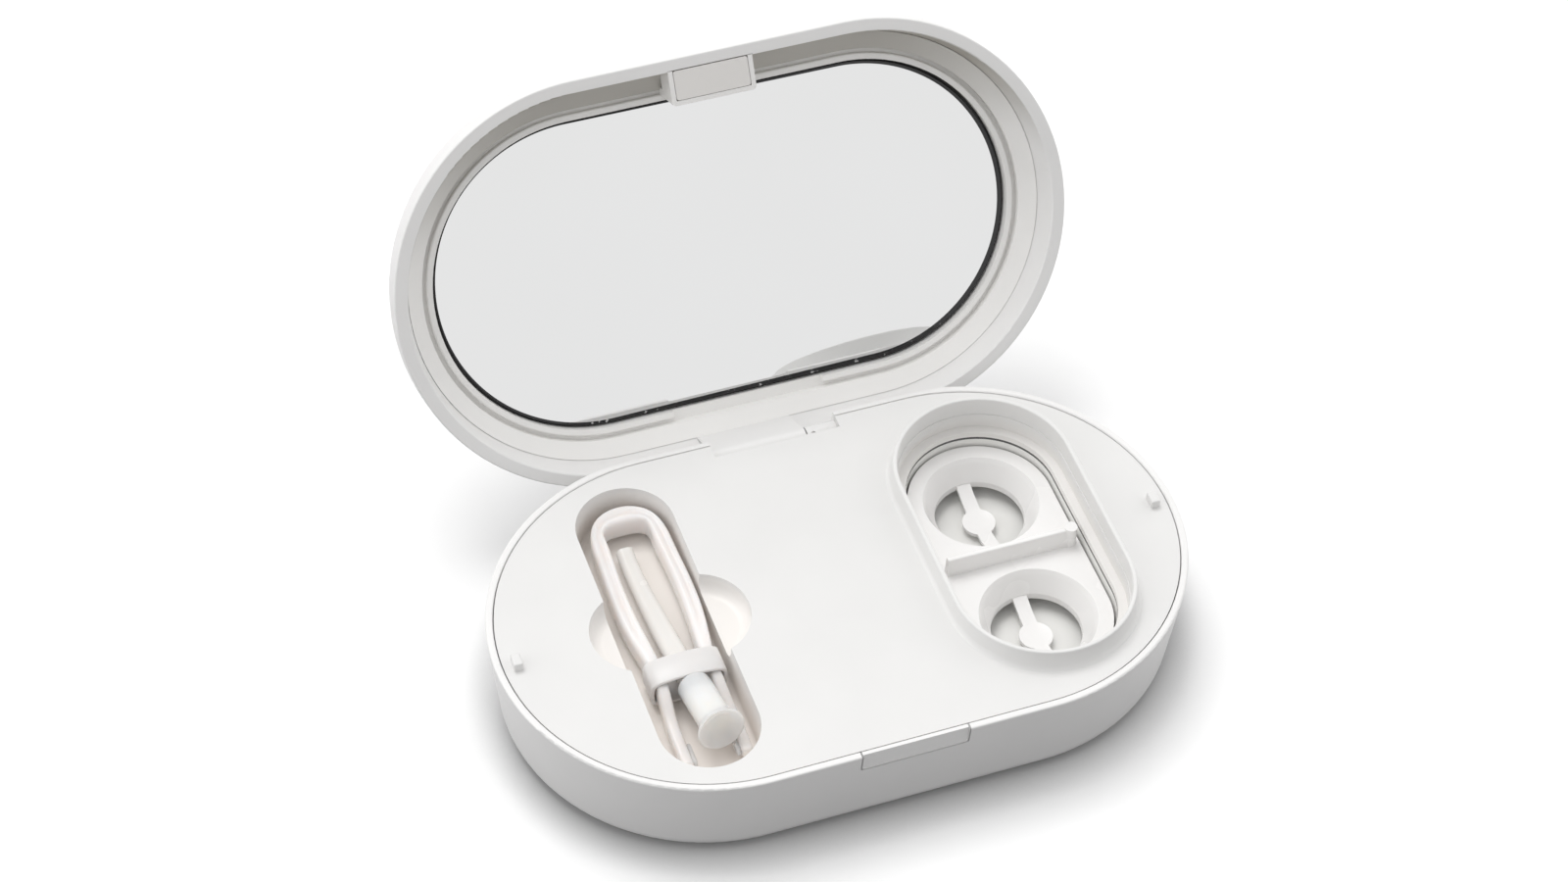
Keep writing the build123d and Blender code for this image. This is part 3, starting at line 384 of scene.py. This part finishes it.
def bump(tree, shader, height, depth):
    """Adds relief of that depth to the shader, over what it has."""
    node = tree.nodes.new("ShaderNodeBump")
    node.inputs["Distance"].default_value = depth
    tree.links.new(height, node.inputs["Height"])
    if shader.inputs["Normal"].is_linked:
        tree.links.new(shader.inputs["Normal"].links[0].from_socket, node.inputs["Normal"])
    tree.links.new(node.outputs["Normal"], shader.inputs["Normal"])


def moulded(name, colour, low, high, size=0.00035, depth=0.000006, spread=0.03, cloud=0.02):
    """Moulded plastic or rubber: spark grain, roughness between low and high, and a faint cloudiness."""
    made, tree, shader = new_material(name)
    grain = use_group(tree, "Moulded grain", Size=size, Gloss_Low=low, Gloss_High=high)
    shade = use_group(tree, "Cloudy colour", Light=tuple(colour), Dark=darker(colour, spread), Size=cloud)
    tree.links.new(grain.outputs["Roughness"], shader.inputs["Roughness"])
    tree.links.new(shade.outputs["Color"], shader.inputs["Base Color"])
    bump(tree, shader, grain.outputs["Height"], depth)
    return made


def tinted(material, colour, name, **values):
    """Gives the part of a material that a mask group picks out another colour."""
    tree = material.node_tree
    shader = tree.nodes["Principled BSDF"]
    rest = shader.inputs["Base Color"].links[0].from_socket
    mask = use_group(tree, name, **values).outputs["Mask"]
    tree.links.new(mix_colour(tree, mask, rest, tuple(colour)), shader.inputs["Base Color"])
    return material


def metal(name, colour, roughness, width=0.00015):
    """Brushed metal, with brush lines of that width."""
    made, tree, shader = new_material(name)
    streaks = use_group(tree, "Streaks", Width=width, Stretch=0.05)
    shade = use_group(tree, "Cloudy colour", Light=tuple(colour), Dark=darker(colour, 0.15), Size=0.004)
    brushed = remap(tree, streaks.outputs["Mask"], 0.0, 1.0, roughness * 0.8, roughness * 1.25)
    tree.links.new(brushed, shader.inputs["Roughness"])
    tree.links.new(shade.outputs["Color"], shader.inputs["Base Color"])
    bump(tree, shader, streaks.outputs["Height"], 0.000004)
    shader.inputs["Metallic"].default_value = 1.0
    return made


def soft(material, scale, share=0.6):
    """Lets light into a material, about as deep as the scale."""
    shader = material.node_tree.nodes["Principled BSDF"]
    shader.inputs["Subsurface Weight"].default_value = share
    shader.inputs["Subsurface Radius"].default_value = (1.0, 0.92, 0.86)
    shader.inputs["Subsurface Scale"].default_value = scale
    return material


def clear_plastic(name, colour, see_through, scale):
    """Milky clear plastic, cream in patches, with faint flow lines along the piece."""
    made, tree, shader = new_material(name)
    streaks = use_group(tree, "Streaks", Width=0.0016, Stretch=0.06)
    cream = (colour[0], colour[1] * 0.975, colour[2] * 0.955)
    shade = use_group(tree, "Cloudy colour", Light=tuple(colour), Dark=cream, Size=0.008)
    tree.links.new(remap(tree, streaks.outputs["Mask"], 0.0, 1.0, 0.16, 0.26), shader.inputs["Roughness"])
    tree.links.new(shade.outputs["Color"], shader.inputs["Base Color"])
    bump(tree, shader, streaks.outputs["Height"], 0.00004)
    shader.inputs["IOR"].default_value = 1.43
    shader.inputs["Transmission Weight"].default_value = see_through
    return soft(made, scale, 1.0)


def mirror_silver(name):
    """Silvered glass with the faintest wipe marks, and a dark edge where the silver ends."""
    made, tree, shader = new_material(name)
    low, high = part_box("mirror")
    radius = MIRROR_HEIGHT / 2
    front_rise = 0.0003         # of the front face's middle above the middle of the whole plate
    edge = use_group(tree, "Dark plate edge", Straight=(high[0] - low[0]) / 2 - radius, Radius=radius,
                     Middle_Z=(low[2] + high[2]) / 2 + front_rise, Tilt=LID_TILT, Width=0.00090)
    streaks = use_group(tree, "Streaks", Width=0.012, Stretch=0.3)
    shade = use_group(tree, "Cloudy colour", Light=(0.785, 0.787, 0.787), Dark=(0.775, 0.777, 0.776), Size=0.05)
    tree.links.new(remap(tree, streaks.outputs["Mask"], 0.0, 1.0, 0.0, 0.012), shader.inputs["Roughness"])
    dark = mix_colour(tree, edge.outputs["Specks"], (0.010, 0.010, 0.011), (0.45, 0.45, 0.45))
    colour = mix_colour(tree, edge.outputs["Mask"], shade.outputs["Color"], dark)
    tree.links.new(colour, shader.inputs["Base Color"])
    tree.links.new(remap(tree, edge.outputs["Mask"], 0.0, 1.0, 1.0, 0.0), shader.inputs["Metallic"])
    return made


def dress(material, *nodes):
    """Gives CAD nodes their material."""
    for name in nodes:
        for slot in NODES[name].material_slots:
            slot.material = material


# ------------------------------------------------------------------ soft tools, in mm until they become meshes
def through(points, steps):
    """Smooth curve through the points, with so many steps from each to the next."""
    points = np.array(points, float)
    gaps = np.linalg.norm(np.diff(points, axis=0), axis=1)
    last = len(points) - 1
    system, right = np.eye(last + 1), np.zeros_like(points)
    for i in range(1, last):
        system[i, i - 1 : i + 2] = gaps[i - 1], 2 * (gaps[i - 1] + gaps[i]), gaps[i]
        right[i] = 6 * ((points[i + 1] - points[i]) / gaps[i] - (points[i] - points[i - 1]) / gaps[i - 1])
    curve = np.linalg.solve(system, right)
    made = []
    for i in range(last):
        for b in np.linspace(0, 1, steps, endpoint=False):
            a = 1 - b
            sag = (a**3 - a) * curve[i] + (b**3 - b) * curve[i + 1]
            made.append(a * points[i] + b * points[i + 1] + gaps[i] ** 2 / 6 * sag)
    return np.array(made + [points[-1]])


def rounded(power, count):
    """Section between a circle (power 2) and a square, of half width and half height 1."""
    turns = np.linspace(0, 2 * pi, count, endpoint=False)
    across, up = np.cos(turns), np.sin(turns)
    return np.sign(across) * abs(across) ** (2 / power), np.sign(up) * abs(up) ** (2 / power)


def skin(name, rings, closed, body, material, slot, *nodes):
    """Piece skinned over rings of points in mm, which stands for the CAD nodes. Open ends get a cap."""
    rings = np.array(rings) * MM
    mesh = bpy.data.meshes.new(name)
    shape = bmesh.new()
    made = [[shape.verts.new(point) for point in ring] for ring in rings]
    count = len(made[0])
    for a, b in zip(made, made[1:] + made[:1] if closed else made[1:]):
        for i in range(count):
            shape.faces.new((a[i], a[(i + 1) % count], b[(i + 1) % count], b[i]))
    if not closed:
        shape.faces.new(made[0][::-1])
        shape.faces.new(made[-1])
    bmesh.ops.remove_doubles(shape, verts=shape.verts, dist=1e-7)
    bmesh.ops.recalc_face_normals(shape, faces=shape.faces)
    shape.to_mesh(mesh)
    shape.free()
    mesh.shade_smooth()
    mesh.materials.append(material)
    piece = bpy.data.objects.new(name, mesh)
    bpy.context.scene.collection.objects.link(piece)
    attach(piece, body)
    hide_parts(*nodes)


def round_ends(distances, reach):
    """Share of the full section at distances from an end, which is round over its reach."""
    near = np.clip(1 - np.array(distances) / reach, 0, 1)
    return np.sqrt(np.maximum(1 - near**2, 0))


def arm_rings(power, groove):
    """Rings from the left tip round the bend to the right tip."""
    half_width, fit, end_reach, steps = 1.7, 0.985, 1.1, 8
    arm = [(5.95, -30.0, 0.7), (5.85, -18.0, 0.75), (5.35, BAND_Y, 0.8),    # x, y, share of the half width
           (6.3, 1.5, 1.0), (6.75, 13.0, 1.0), (6.45, 21.5, 1.0)]
    outer_bend, outer_top = [(7.83, 27.0), (5.85, 31.7), (3.0, 33.75)], (0, 34.38)
    inner_bend, inner_top = [(4.6, 26.0), (4.15, 29.0), (2.4, 29.7)], (0, 29.78)
    height_y = (-31, -19.9, -17.5, -13.6, -12.0, -10.6)
    height = (2.6, 2.85, 3.25, 5.0, 5.5, 5.6)
    groove_start, groove_full, groove_width = -2.0, 3.0, 0.62
    edges = []
    for side, bend, top in ((1, outer_bend, outer_top), (-1, inner_bend, inner_top)):
        points = [(x + side * half_width * share, y) for x, y, share in arm] + bend
        edges.append(through([(-x, y) for x, y in points] + [top] + points[::-1], steps))
    outer, inner = edges
    middle = (outer + inner) / 2
    # a few more rings where the ends are round
    length = np.concatenate([[0], np.cumsum(np.linalg.norm(np.diff(middle, axis=0), axis=1))])
    ends = end_reach * (1 - np.cos(np.linspace(0, pi / 2, 7)))
    between = length[(length > end_reach + 0.1) & (length < length[-1] - end_reach - 0.1)]
    places = np.unique(np.concatenate([ends, length[-1] - ends, between]))
    outer, inner = (
        np.column_stack([np.interp(places, length, edge[:, k]) for k in (0, 1)]) for edge in edges)
    share = round_ends(np.minimum(places, places[-1] - places), end_reach)
    across, up = rounded(power, 44)
    rings = []
    for i in range(len(places)):
        middle, half = (outer[i] + inner[i]) / 2, (outer[i] - inner[i]) / 2 * fit
        top = np.interp(middle[1], height_y, height)
        depth = np.interp(middle[1], (groove_start, groove_full), (0.0, groove / MM))
        width = np.linalg.norm(half) * across
        dip = depth * np.exp(-((width / groove_width) ** 2)) * np.sign(up) * (abs(up) > 0.3)
        x = ARMS_X / MM + middle[0] + half[0] * across * share[i]
        y = middle[1] + half[1] * across * share[i]
        z = ARMS_Z / MM + top / 2 + (top / 2 * up - dip) * share[i]
        rings.append(np.column_stack([x, y, z]))
    return rings


def tip_rings(side):
    """Soft pad on the inner face of an arm, behind its end."""
    front, length, end_reach = -29.55, 5.5, 1.0
    middle_height, half_height = 1.3, 0.85
    inner, outer_at_front, outer_at_back = 3.95, 4.95, 4.85     # faces across the arm, from its middle line
    across, up = rounded(3.6, 24)
    back = length - end_reach
    front_end = end_reach - np.cos(np.linspace(0, pi / 2, 6))
    back_end = back + np.sin(np.linspace(0.2, pi / 2, 6))
    places = np.concatenate([front_end, [2.5, back], back_end])
    share = round_ends(np.minimum(places, length - places), end_reach)
    outer = np.interp(places, (0, length), (outer_at_front, outer_at_back))
    rings = []
    for place, scale, face in zip(places, share, outer):
        x = ARMS_X / MM + side * ((inner + face) / 2 + (face - inner) / 2 * across * scale)
        z = ARMS_Z / MM + middle_height + half_height * up * scale
        rings.append(np.column_stack([x, np.full(24, front + place), z]))
    return rings


def band_rings(edge):
    """Closed run of sections through the band's wall, up its left side, over the stick and down again."""
    half_width, half_height, thickness, half_length = 7.8, 3.65, 0.8, 3.0
    middle_z, squareness, stick_rise = 3.975, 0.4, 0.45
    across, along = rounded(2.0, 24)
    straight_y = half_length - edge
    rings = []
    for turn in np.linspace(0, 2 * pi, 96, endpoint=False):
        outline = []
        for inset in (0.0, thickness):
            x, z = (np.sign(v) * abs(v) ** squareness for v in (cos(turn), sin(turn)))
            x, z = (half_width - inset) * x, middle_z + (half_height - inset) * z
            if z > middle_z:
                swell = stick_rise * cos(pi * x / (2 * half_width)) ** 2
                z += swell * (z - middle_z) / (half_height - inset)
            outline.append(np.array([x, z]))
        middle, half = (outline[0] + outline[1]) / 2, (outline[0] - outline[1]) / 2
        y = BAND_Y + np.sign(along) * straight_y * (abs(along) > 1e-9) + edge * along
        ring = middle + np.outer(across, half)
        rings.append(np.column_stack([ARMS_X / MM + ring[:, 0], y, RECESS_Z / MM + ring[:, 1]]))
    return rings


def cup_rings():
    """Lathe-turned head and cup of the suction stick, in line with its front."""
    to_stick, height, gap = 1.0, 4.65, 3.8       # stick's axis at the band; gap from there to the head
    pitch, yaw = radians(-11.0), radians(4.3)
    profile = [(0, 3.05), (1.2, 3.05), (2.2, 3.05), (2.24, 2.9), (2.36, 0.3), (2.5, 0.05),      # radius, place
               (2.9, 0.0), (3.15, 0.08), (3.33, 0.26), (3.4, 0.6), (3.4, 3.0), (3.4, 6.0), (3.4, 9.2),
               (3.42, 10.2), (3.52, 10.95), (3.75, 11.75), (4.1, 12.5), (4.46, 13.15), (4.7, 13.6),
               (4.79, 13.85), (4.76, 13.97), (4.66, 14.0), (4.5, 13.98), (4.34, 13.86), (3.9, 13.42),
               (3.3, 12.95), (2.6, 12.55), (1.8, 12.26), (0.9, 12.12), (0, 12.1)]
    tilt = Matrix.Rotation(pitch, 3, "X") @ Matrix.Rotation(yaw, 3, "Z")
    start = Vector((RECESS_X / MM + to_stick, BAND_Y, RECESS_Z / MM + height))
    rings = []
    for radius, place in profile:
        ring = []
        for turn in np.linspace(0, 2 * pi, 56, endpoint=False):
            ring.append(start + tilt @ Vector((radius * cos(turn), -gap - place, radius * sin(turn))))
        rings.append(ring)
    return rings


# ------------------------------------------------------------------ operators
class FinishCase(bpy.types.Operator):
    """Moulded plastic of the tub, the deck, the lid and the hinge"""

    bl_idname = "lens_cleaner.finish_case"
    bl_label = "Case"

    def execute(self, context):
        s = context.scene.lens_case
        grain = {"size": s.grain_size, "depth": s.grain_depth}
        tub = moulded("Tub plastic", s.shell_colour, 0.36, 0.46, **grain)
        tree = tub.node_tree
        bump(tree, tree.nodes["Principled BSDF"], use_group(tree, "Notch step").outputs["Height"], s.notch_step)
        dress(tub, "base_shell", "hinge_arm")
        lid = moulded("Lid plastic", s.shell_colour, 0.36, 0.46, **grain)
        # painted shade: the lid shell's inner walls that face down and forward take the dark upper-wall colour
        dress(tinted(lid, s.painted_shade_colour, "Painted shade share"), "lid_shell")
        deck = moulded("Deck plastic", s.deck_colour, 0.38, 0.48, **grain)
        # painted light: the deck's walls below its face take the lighter, warmer hollow colour
        dress(tinted(deck, s.hollow_painted_light_colour, "Depth below a face", Height=DECK_Z, Reach=0.0065), "deck_panel")
        liner = moulded("Liner plastic", s.liner_colour, 0.34, 0.44, **grain)
        # painted shade: the liner's walls that face down and forward take the dark upper-wall colour
        dress(tinted(liner, s.painted_shade_colour, "Painted shade share"), "lid_liner")
        dress(moulded("Bush plastic", s.shell_colour, 0.22, 0.30), "hinge_bush")
        dress(moulded("Cover plastic", s.cover_colour, 0.42, 0.52, **grain), "latch_cover")
        dress(moulded("Pad rubber", (0.72, 0.72, 0.71), 0.6, 0.75, size=0.0006, depth=0.00003), "non_slip_pad")
        dress(metal("Ground steel", (0.62, 0.62, 0.63), 0.28), "hinge_pin")
        return {"FINISHED"}


class FinishMirror(bpy.types.Operator):
    """Mirror plate and the black sheet that holds it"""

    bl_idname = "lens_cleaner.finish_mirror"
    bl_label = "Mirror"

    def execute(self, context):
        dress(mirror_silver("Silvered glass"), "mirror")
        adhesive = moulded("Black adhesive", (0.012, 0.012, 0.013), 0.25, 0.5, size=0.0004, depth=0.00004)
        dress(adhesive, "mirror_backing")
        return {"FINISHED"}


class FinishBowl(bpy.types.Operator):
    """Cleaning bowl, its seal and the lens basket"""

    bl_idname = "lens_cleaner.finish_bowl"
    bl_label = "Bowl and basket"

    def execute(self, context):
        s = context.scene.lens_bowl
        dress(moulded("Bowl plastic", s.bowl_colour, 0.16, 0.26, size=0.0008), "cleaning_bowl")
        dress(moulded("Basket plastic", s.basket_colour, 0.18, 0.30, size=0.0008), "lens_basket")
        dress(moulded("Seal rubber", (0.10, 0.10, 0.10), 0.5, 0.65, size=0.0004, depth=0.00002), "bowl_gasket")
        return {"FINISHED"}


class FinishTools(bpy.types.Operator):
    """Tweezers, suction stick and the band round them"""

    bl_idname = "lens_cleaner.finish_tools"
    bl_label = "Lens tools"

    def execute(self, context):
        s = context.scene.lens_tools
        clear = clear_plastic("Clear plastic", s.clear_colour, see_through=0.05, scale=0.0022)
        silicone = clear_plastic("Clear silicone", s.silicone_colour, see_through=0.16, scale=0.004)
        arms = arm_rings(s.roundness, s.groove)
        skin("tweezers_moulding", arms, False, "tool_set", clear, "clear_silicone", "tweezers")
        for name, side in (("left_tweezer_tip", -1), ("right_tweezer_tip", 1)):
            skin(name, tip_rings(side), False, "tool_set", silicone, "clear_silicone", "tweezer_tips")
        skin("suction_cup_moulding", cup_rings(), False, "tool_set", silicone, "clear_silicone", "suction_cup")
        band = moulded("Band silicone", s.band_colour, 0.26, 0.36, size=0.0005, depth=0.000015)
        band = soft(band, scale=0.0010)
        skin("band_moulding", band_rings(s.edge / MM), True, "tool_set", band, "band_silicone", "tool_band")
        stick = moulded("Stick plastic", s.stick_colour, 0.20, 0.30, size=0.0006, depth=0.000008)
        dress(soft(stick, scale=0.0006), "stick_handle")
        return {"FINISHED"}


class FinishInside(bpy.types.Operator):
    """Board, battery, transducer, magnets, leads and screws"""

    bl_idname = "lens_cleaner.finish_inside"
    bl_label = "Inner parts"

    def execute(self, context):
        dress(metal("Plated steel", (0.66, 0.66, 0.67), 0.22), "bowl_screws", "base_screws", "board_screws")
        dress(metal("Socket steel", (0.60, 0.60, 0.61), 0.30), "charging_socket")
        dress(metal("Nickel", (0.58, 0.57, 0.55), 0.18), "base_magnet", "lid_magnet")
        dress(metal("Copper foil", (0.72, 0.42, 0.24), 0.30), "touch_pad", "touch_lead")
        dress(metal("Cell foil", (0.62, 0.63, 0.65), 0.38, width=0.0006), "battery_cell")
        dress(moulded("Foam", (0.06, 0.06, 0.065), 0.8, 0.95, size=0.0004, depth=0.00015), "battery_pad")
        dress(moulded("Solder mask", (0.02, 0.16, 0.08), 0.20, 0.35, size=0.0005, depth=0.00002, spread=0.25,
                      cloud=0.003), "circuit_board")
        dress(moulded("Chip resin", (0.03, 0.03, 0.033), 0.45, 0.6, size=0.0003, depth=0.00002), "board_parts")
        dress(moulded("Ceramic", (0.60, 0.53, 0.38), 0.35, 0.5, size=0.0003, depth=0.00001, spread=0.1,
                      cloud=0.004), "ultrasonic_transducer")
        dress(moulded("Red lead", (0.45, 0.03, 0.02), 0.32, 0.45), "transducer_leads", "battery_leads")
        return {"FINISHED"}


class BuildStudio(bpy.types.Operator):
    """Floor, soft light and the camera"""

    bl_idname = "lens_cleaner.build_studio"
    bl_label = "Studio"

    def execute(self, context):
        s = context.scene.lens_studio
        scene = context.scene
        scene.view_settings.view_transform = "Standard"
        self.make_floor(scene, s.floor_size)
        self.make_sky(scene, s.sky, s.sky_front, s.sky_sides)
        self.make_lamp(scene, s.lamp)
        self.make_camera(scene, s)
        return {"FINISHED"}

    @staticmethod
    def seen_directly(tree):
        """1 for rays of the camera, of reflections and through clear plastic, 0 for other light."""
        path = tree.nodes.new("ShaderNodeLightPath")
        seen = calculate(tree, "MAXIMUM", path.outputs["Is Camera Ray"], path.outputs["Is Glossy Ray"])
        return calculate(tree, "MAXIMUM", seen, path.outputs["Is Transmission Ray"])

    def make_floor(self, scene, size):
        """White paper with a painted contact shadow: a little darker close to the case, except behind it, where
        the light comes from.
        """
        mesh = bpy.data.meshes.new("floor")
        half = size / 2
        corners = [(-half, -half, 0), (half, -half, 0), (half, half, 0), (-half, half, 0)]
        mesh.from_pydata(corners, [], [(0, 1, 2, 3)])
        floor = bpy.data.objects.new("floor", mesh)
        scene.collection.objects.link(floor)
        made, tree, shader = new_material("Floor paper")
        painted_contact_shadow = tree.nodes.new("ShaderNodeAmbientOcclusion")
        painted_contact_shadow.inputs["Distance"].default_value = 0.012
        behind = remap(tree, object_place(tree)["Y"], -0.01, 0.04, 0.0, 0.85)
        lit = calculate(tree, "MAXIMUM", remap(tree, painted_contact_shadow.outputs["AO"], 0.42, 0.85), behind)
        # painted shadow: mid grey where the occlusion mask is low, white where the floor is clear of the case
        near = mix_colour(tree, lit, (0.50, 0.50, 0.50), (1.0, 1.0, 1.0))
        colour = mix_colour(tree, self.seen_directly(tree), (0.15, 0.15, 0.155), near)
        tree.links.new(colour, shader.inputs["Base Color"])
        shader.inputs["Roughness"].default_value = 0.9
        shader.inputs["Specular IOR Level"].default_value = 0.1
        mesh.materials.append(made)

    def make_sky(self, scene, strength, front, sides):
        """White to the camera; as light, bright behind and at the sides and dim in front."""
        world = bpy.data.worlds.new("Studio")
        world.use_nodes = True
        scene.world = world
        tree = world.node_tree
        sky = tree.nodes["Background"]
        sky.inputs["Color"].default_value = (1, 1, 1, 1)
        ways = tree.nodes.new("ShaderNodeSeparateXYZ")
        tree.links.new(tree.nodes.new("ShaderNodeTexCoord").outputs["Generated"], ways.inputs[0])
        glow = remap(tree, ways.outputs["Y"], -0.8, 0.3, front, strength)
        across = calculate(tree, "MULTIPLY", ways.outputs["X"], ways.outputs["X"])
        glow = calculate(tree, "MULTIPLY_ADD", across, sides, glow)
        tree.links.new(remap(tree, self.seen_directly(tree), 0.0, 1.0, glow, 1.0), sky.inputs["Strength"])

    def make_lamp(self, scene, strength):
        lamp = bpy.data.lights.new("key", "SUN")
        lamp.energy = strength
        lamp.angle = LAMP_SPREAD
        made = bpy.data.objects.new("key", lamp)
        made.rotation_mode = "QUATERNION"
        made.rotation_quaternion = LAMP_WAY.to_track_quat("Z", "Y")
        scene.collection.objects.link(made)

    def make_camera(self, scene, s):
        data = bpy.data.cameras.new("camera")
        data.lens, data.sensor_width = s.lens, SENSOR_WIDTH
        data.clip_start, data.clip_end = 0.01, 20.0
        camera = bpy.data.objects.new("camera", data)
        scene.collection.objects.link(camera)
        back = Vector((sin(s.turn) * cos(s.height), -cos(s.turn) * cos(s.height), sin(s.height)))
        right = Vector((0, 0, 1)).cross(back).normalized()
        up = back.cross(right)
        rolled_right = right * cos(s.roll) + up * sin(s.roll)
        rolled_up = up * cos(s.roll) - right * sin(s.roll)
        turned = Matrix((rolled_right, rolled_up, back)).transposed()
        camera.matrix_world = Matrix.Translation(LOOKED_AT + back * s.distance) @ turned.to_4x4()
        scene.camera = camera


class LensCleanerPanel(bpy.types.Panel):
    bl_label = "Lens cleaner"
    bl_idname = "VIEW3D_PT_lens_cleaner"
    bl_space_type = "VIEW_3D"
    bl_region_type = "UI"
    bl_category = "Lens cleaner"

    def draw(self, context):
        for group_name, operator in STEPS:
            box = self.layout.box()
            if group_name:
                settings = getattr(context.scene, group_name)
                for field in settings.bl_rna.properties.keys():
                    if field not in ("rna_type", "name"):
                        box.prop(settings, field)
            box.operator(operator.bl_idname)


STEPS = (
    ("lens_case", FinishCase),
    (None, FinishMirror),
    ("lens_bowl", FinishBowl),
    ("lens_tools", FinishTools),
    (None, FinishInside),
    ("lens_studio", BuildStudio),
)
SETTINGS = {
    "lens_case": CaseSettings,
    "lens_bowl": BowlSettings,
    "lens_tools": ToolSettings,
    "lens_studio": StudioSettings,
}


def register():
    for name, kind in SETTINGS.items():
        bpy.utils.register_class(kind)
        setattr(bpy.types.Scene, name, PointerProperty(type=kind))
    for _, operator in STEPS:
        bpy.utils.register_class(operator)
    bpy.utils.register_class(LensCleanerPanel)


def unregister():
    bpy.utils.unregister_class(LensCleanerPanel)
    for _, operator in reversed(STEPS):
        bpy.utils.unregister_class(operator)
    for name, kind in reversed(SETTINGS.items()):
        delattr(bpy.types.Scene, name)
        bpy.utils.unregister_class(kind)


def main():
    register()
    make_groups()
    for _, operator in STEPS:
        section, call = operator.bl_idname.split(".")
        getattr(getattr(bpy.ops, section), call)()


if __name__ == "__main__":
    main()
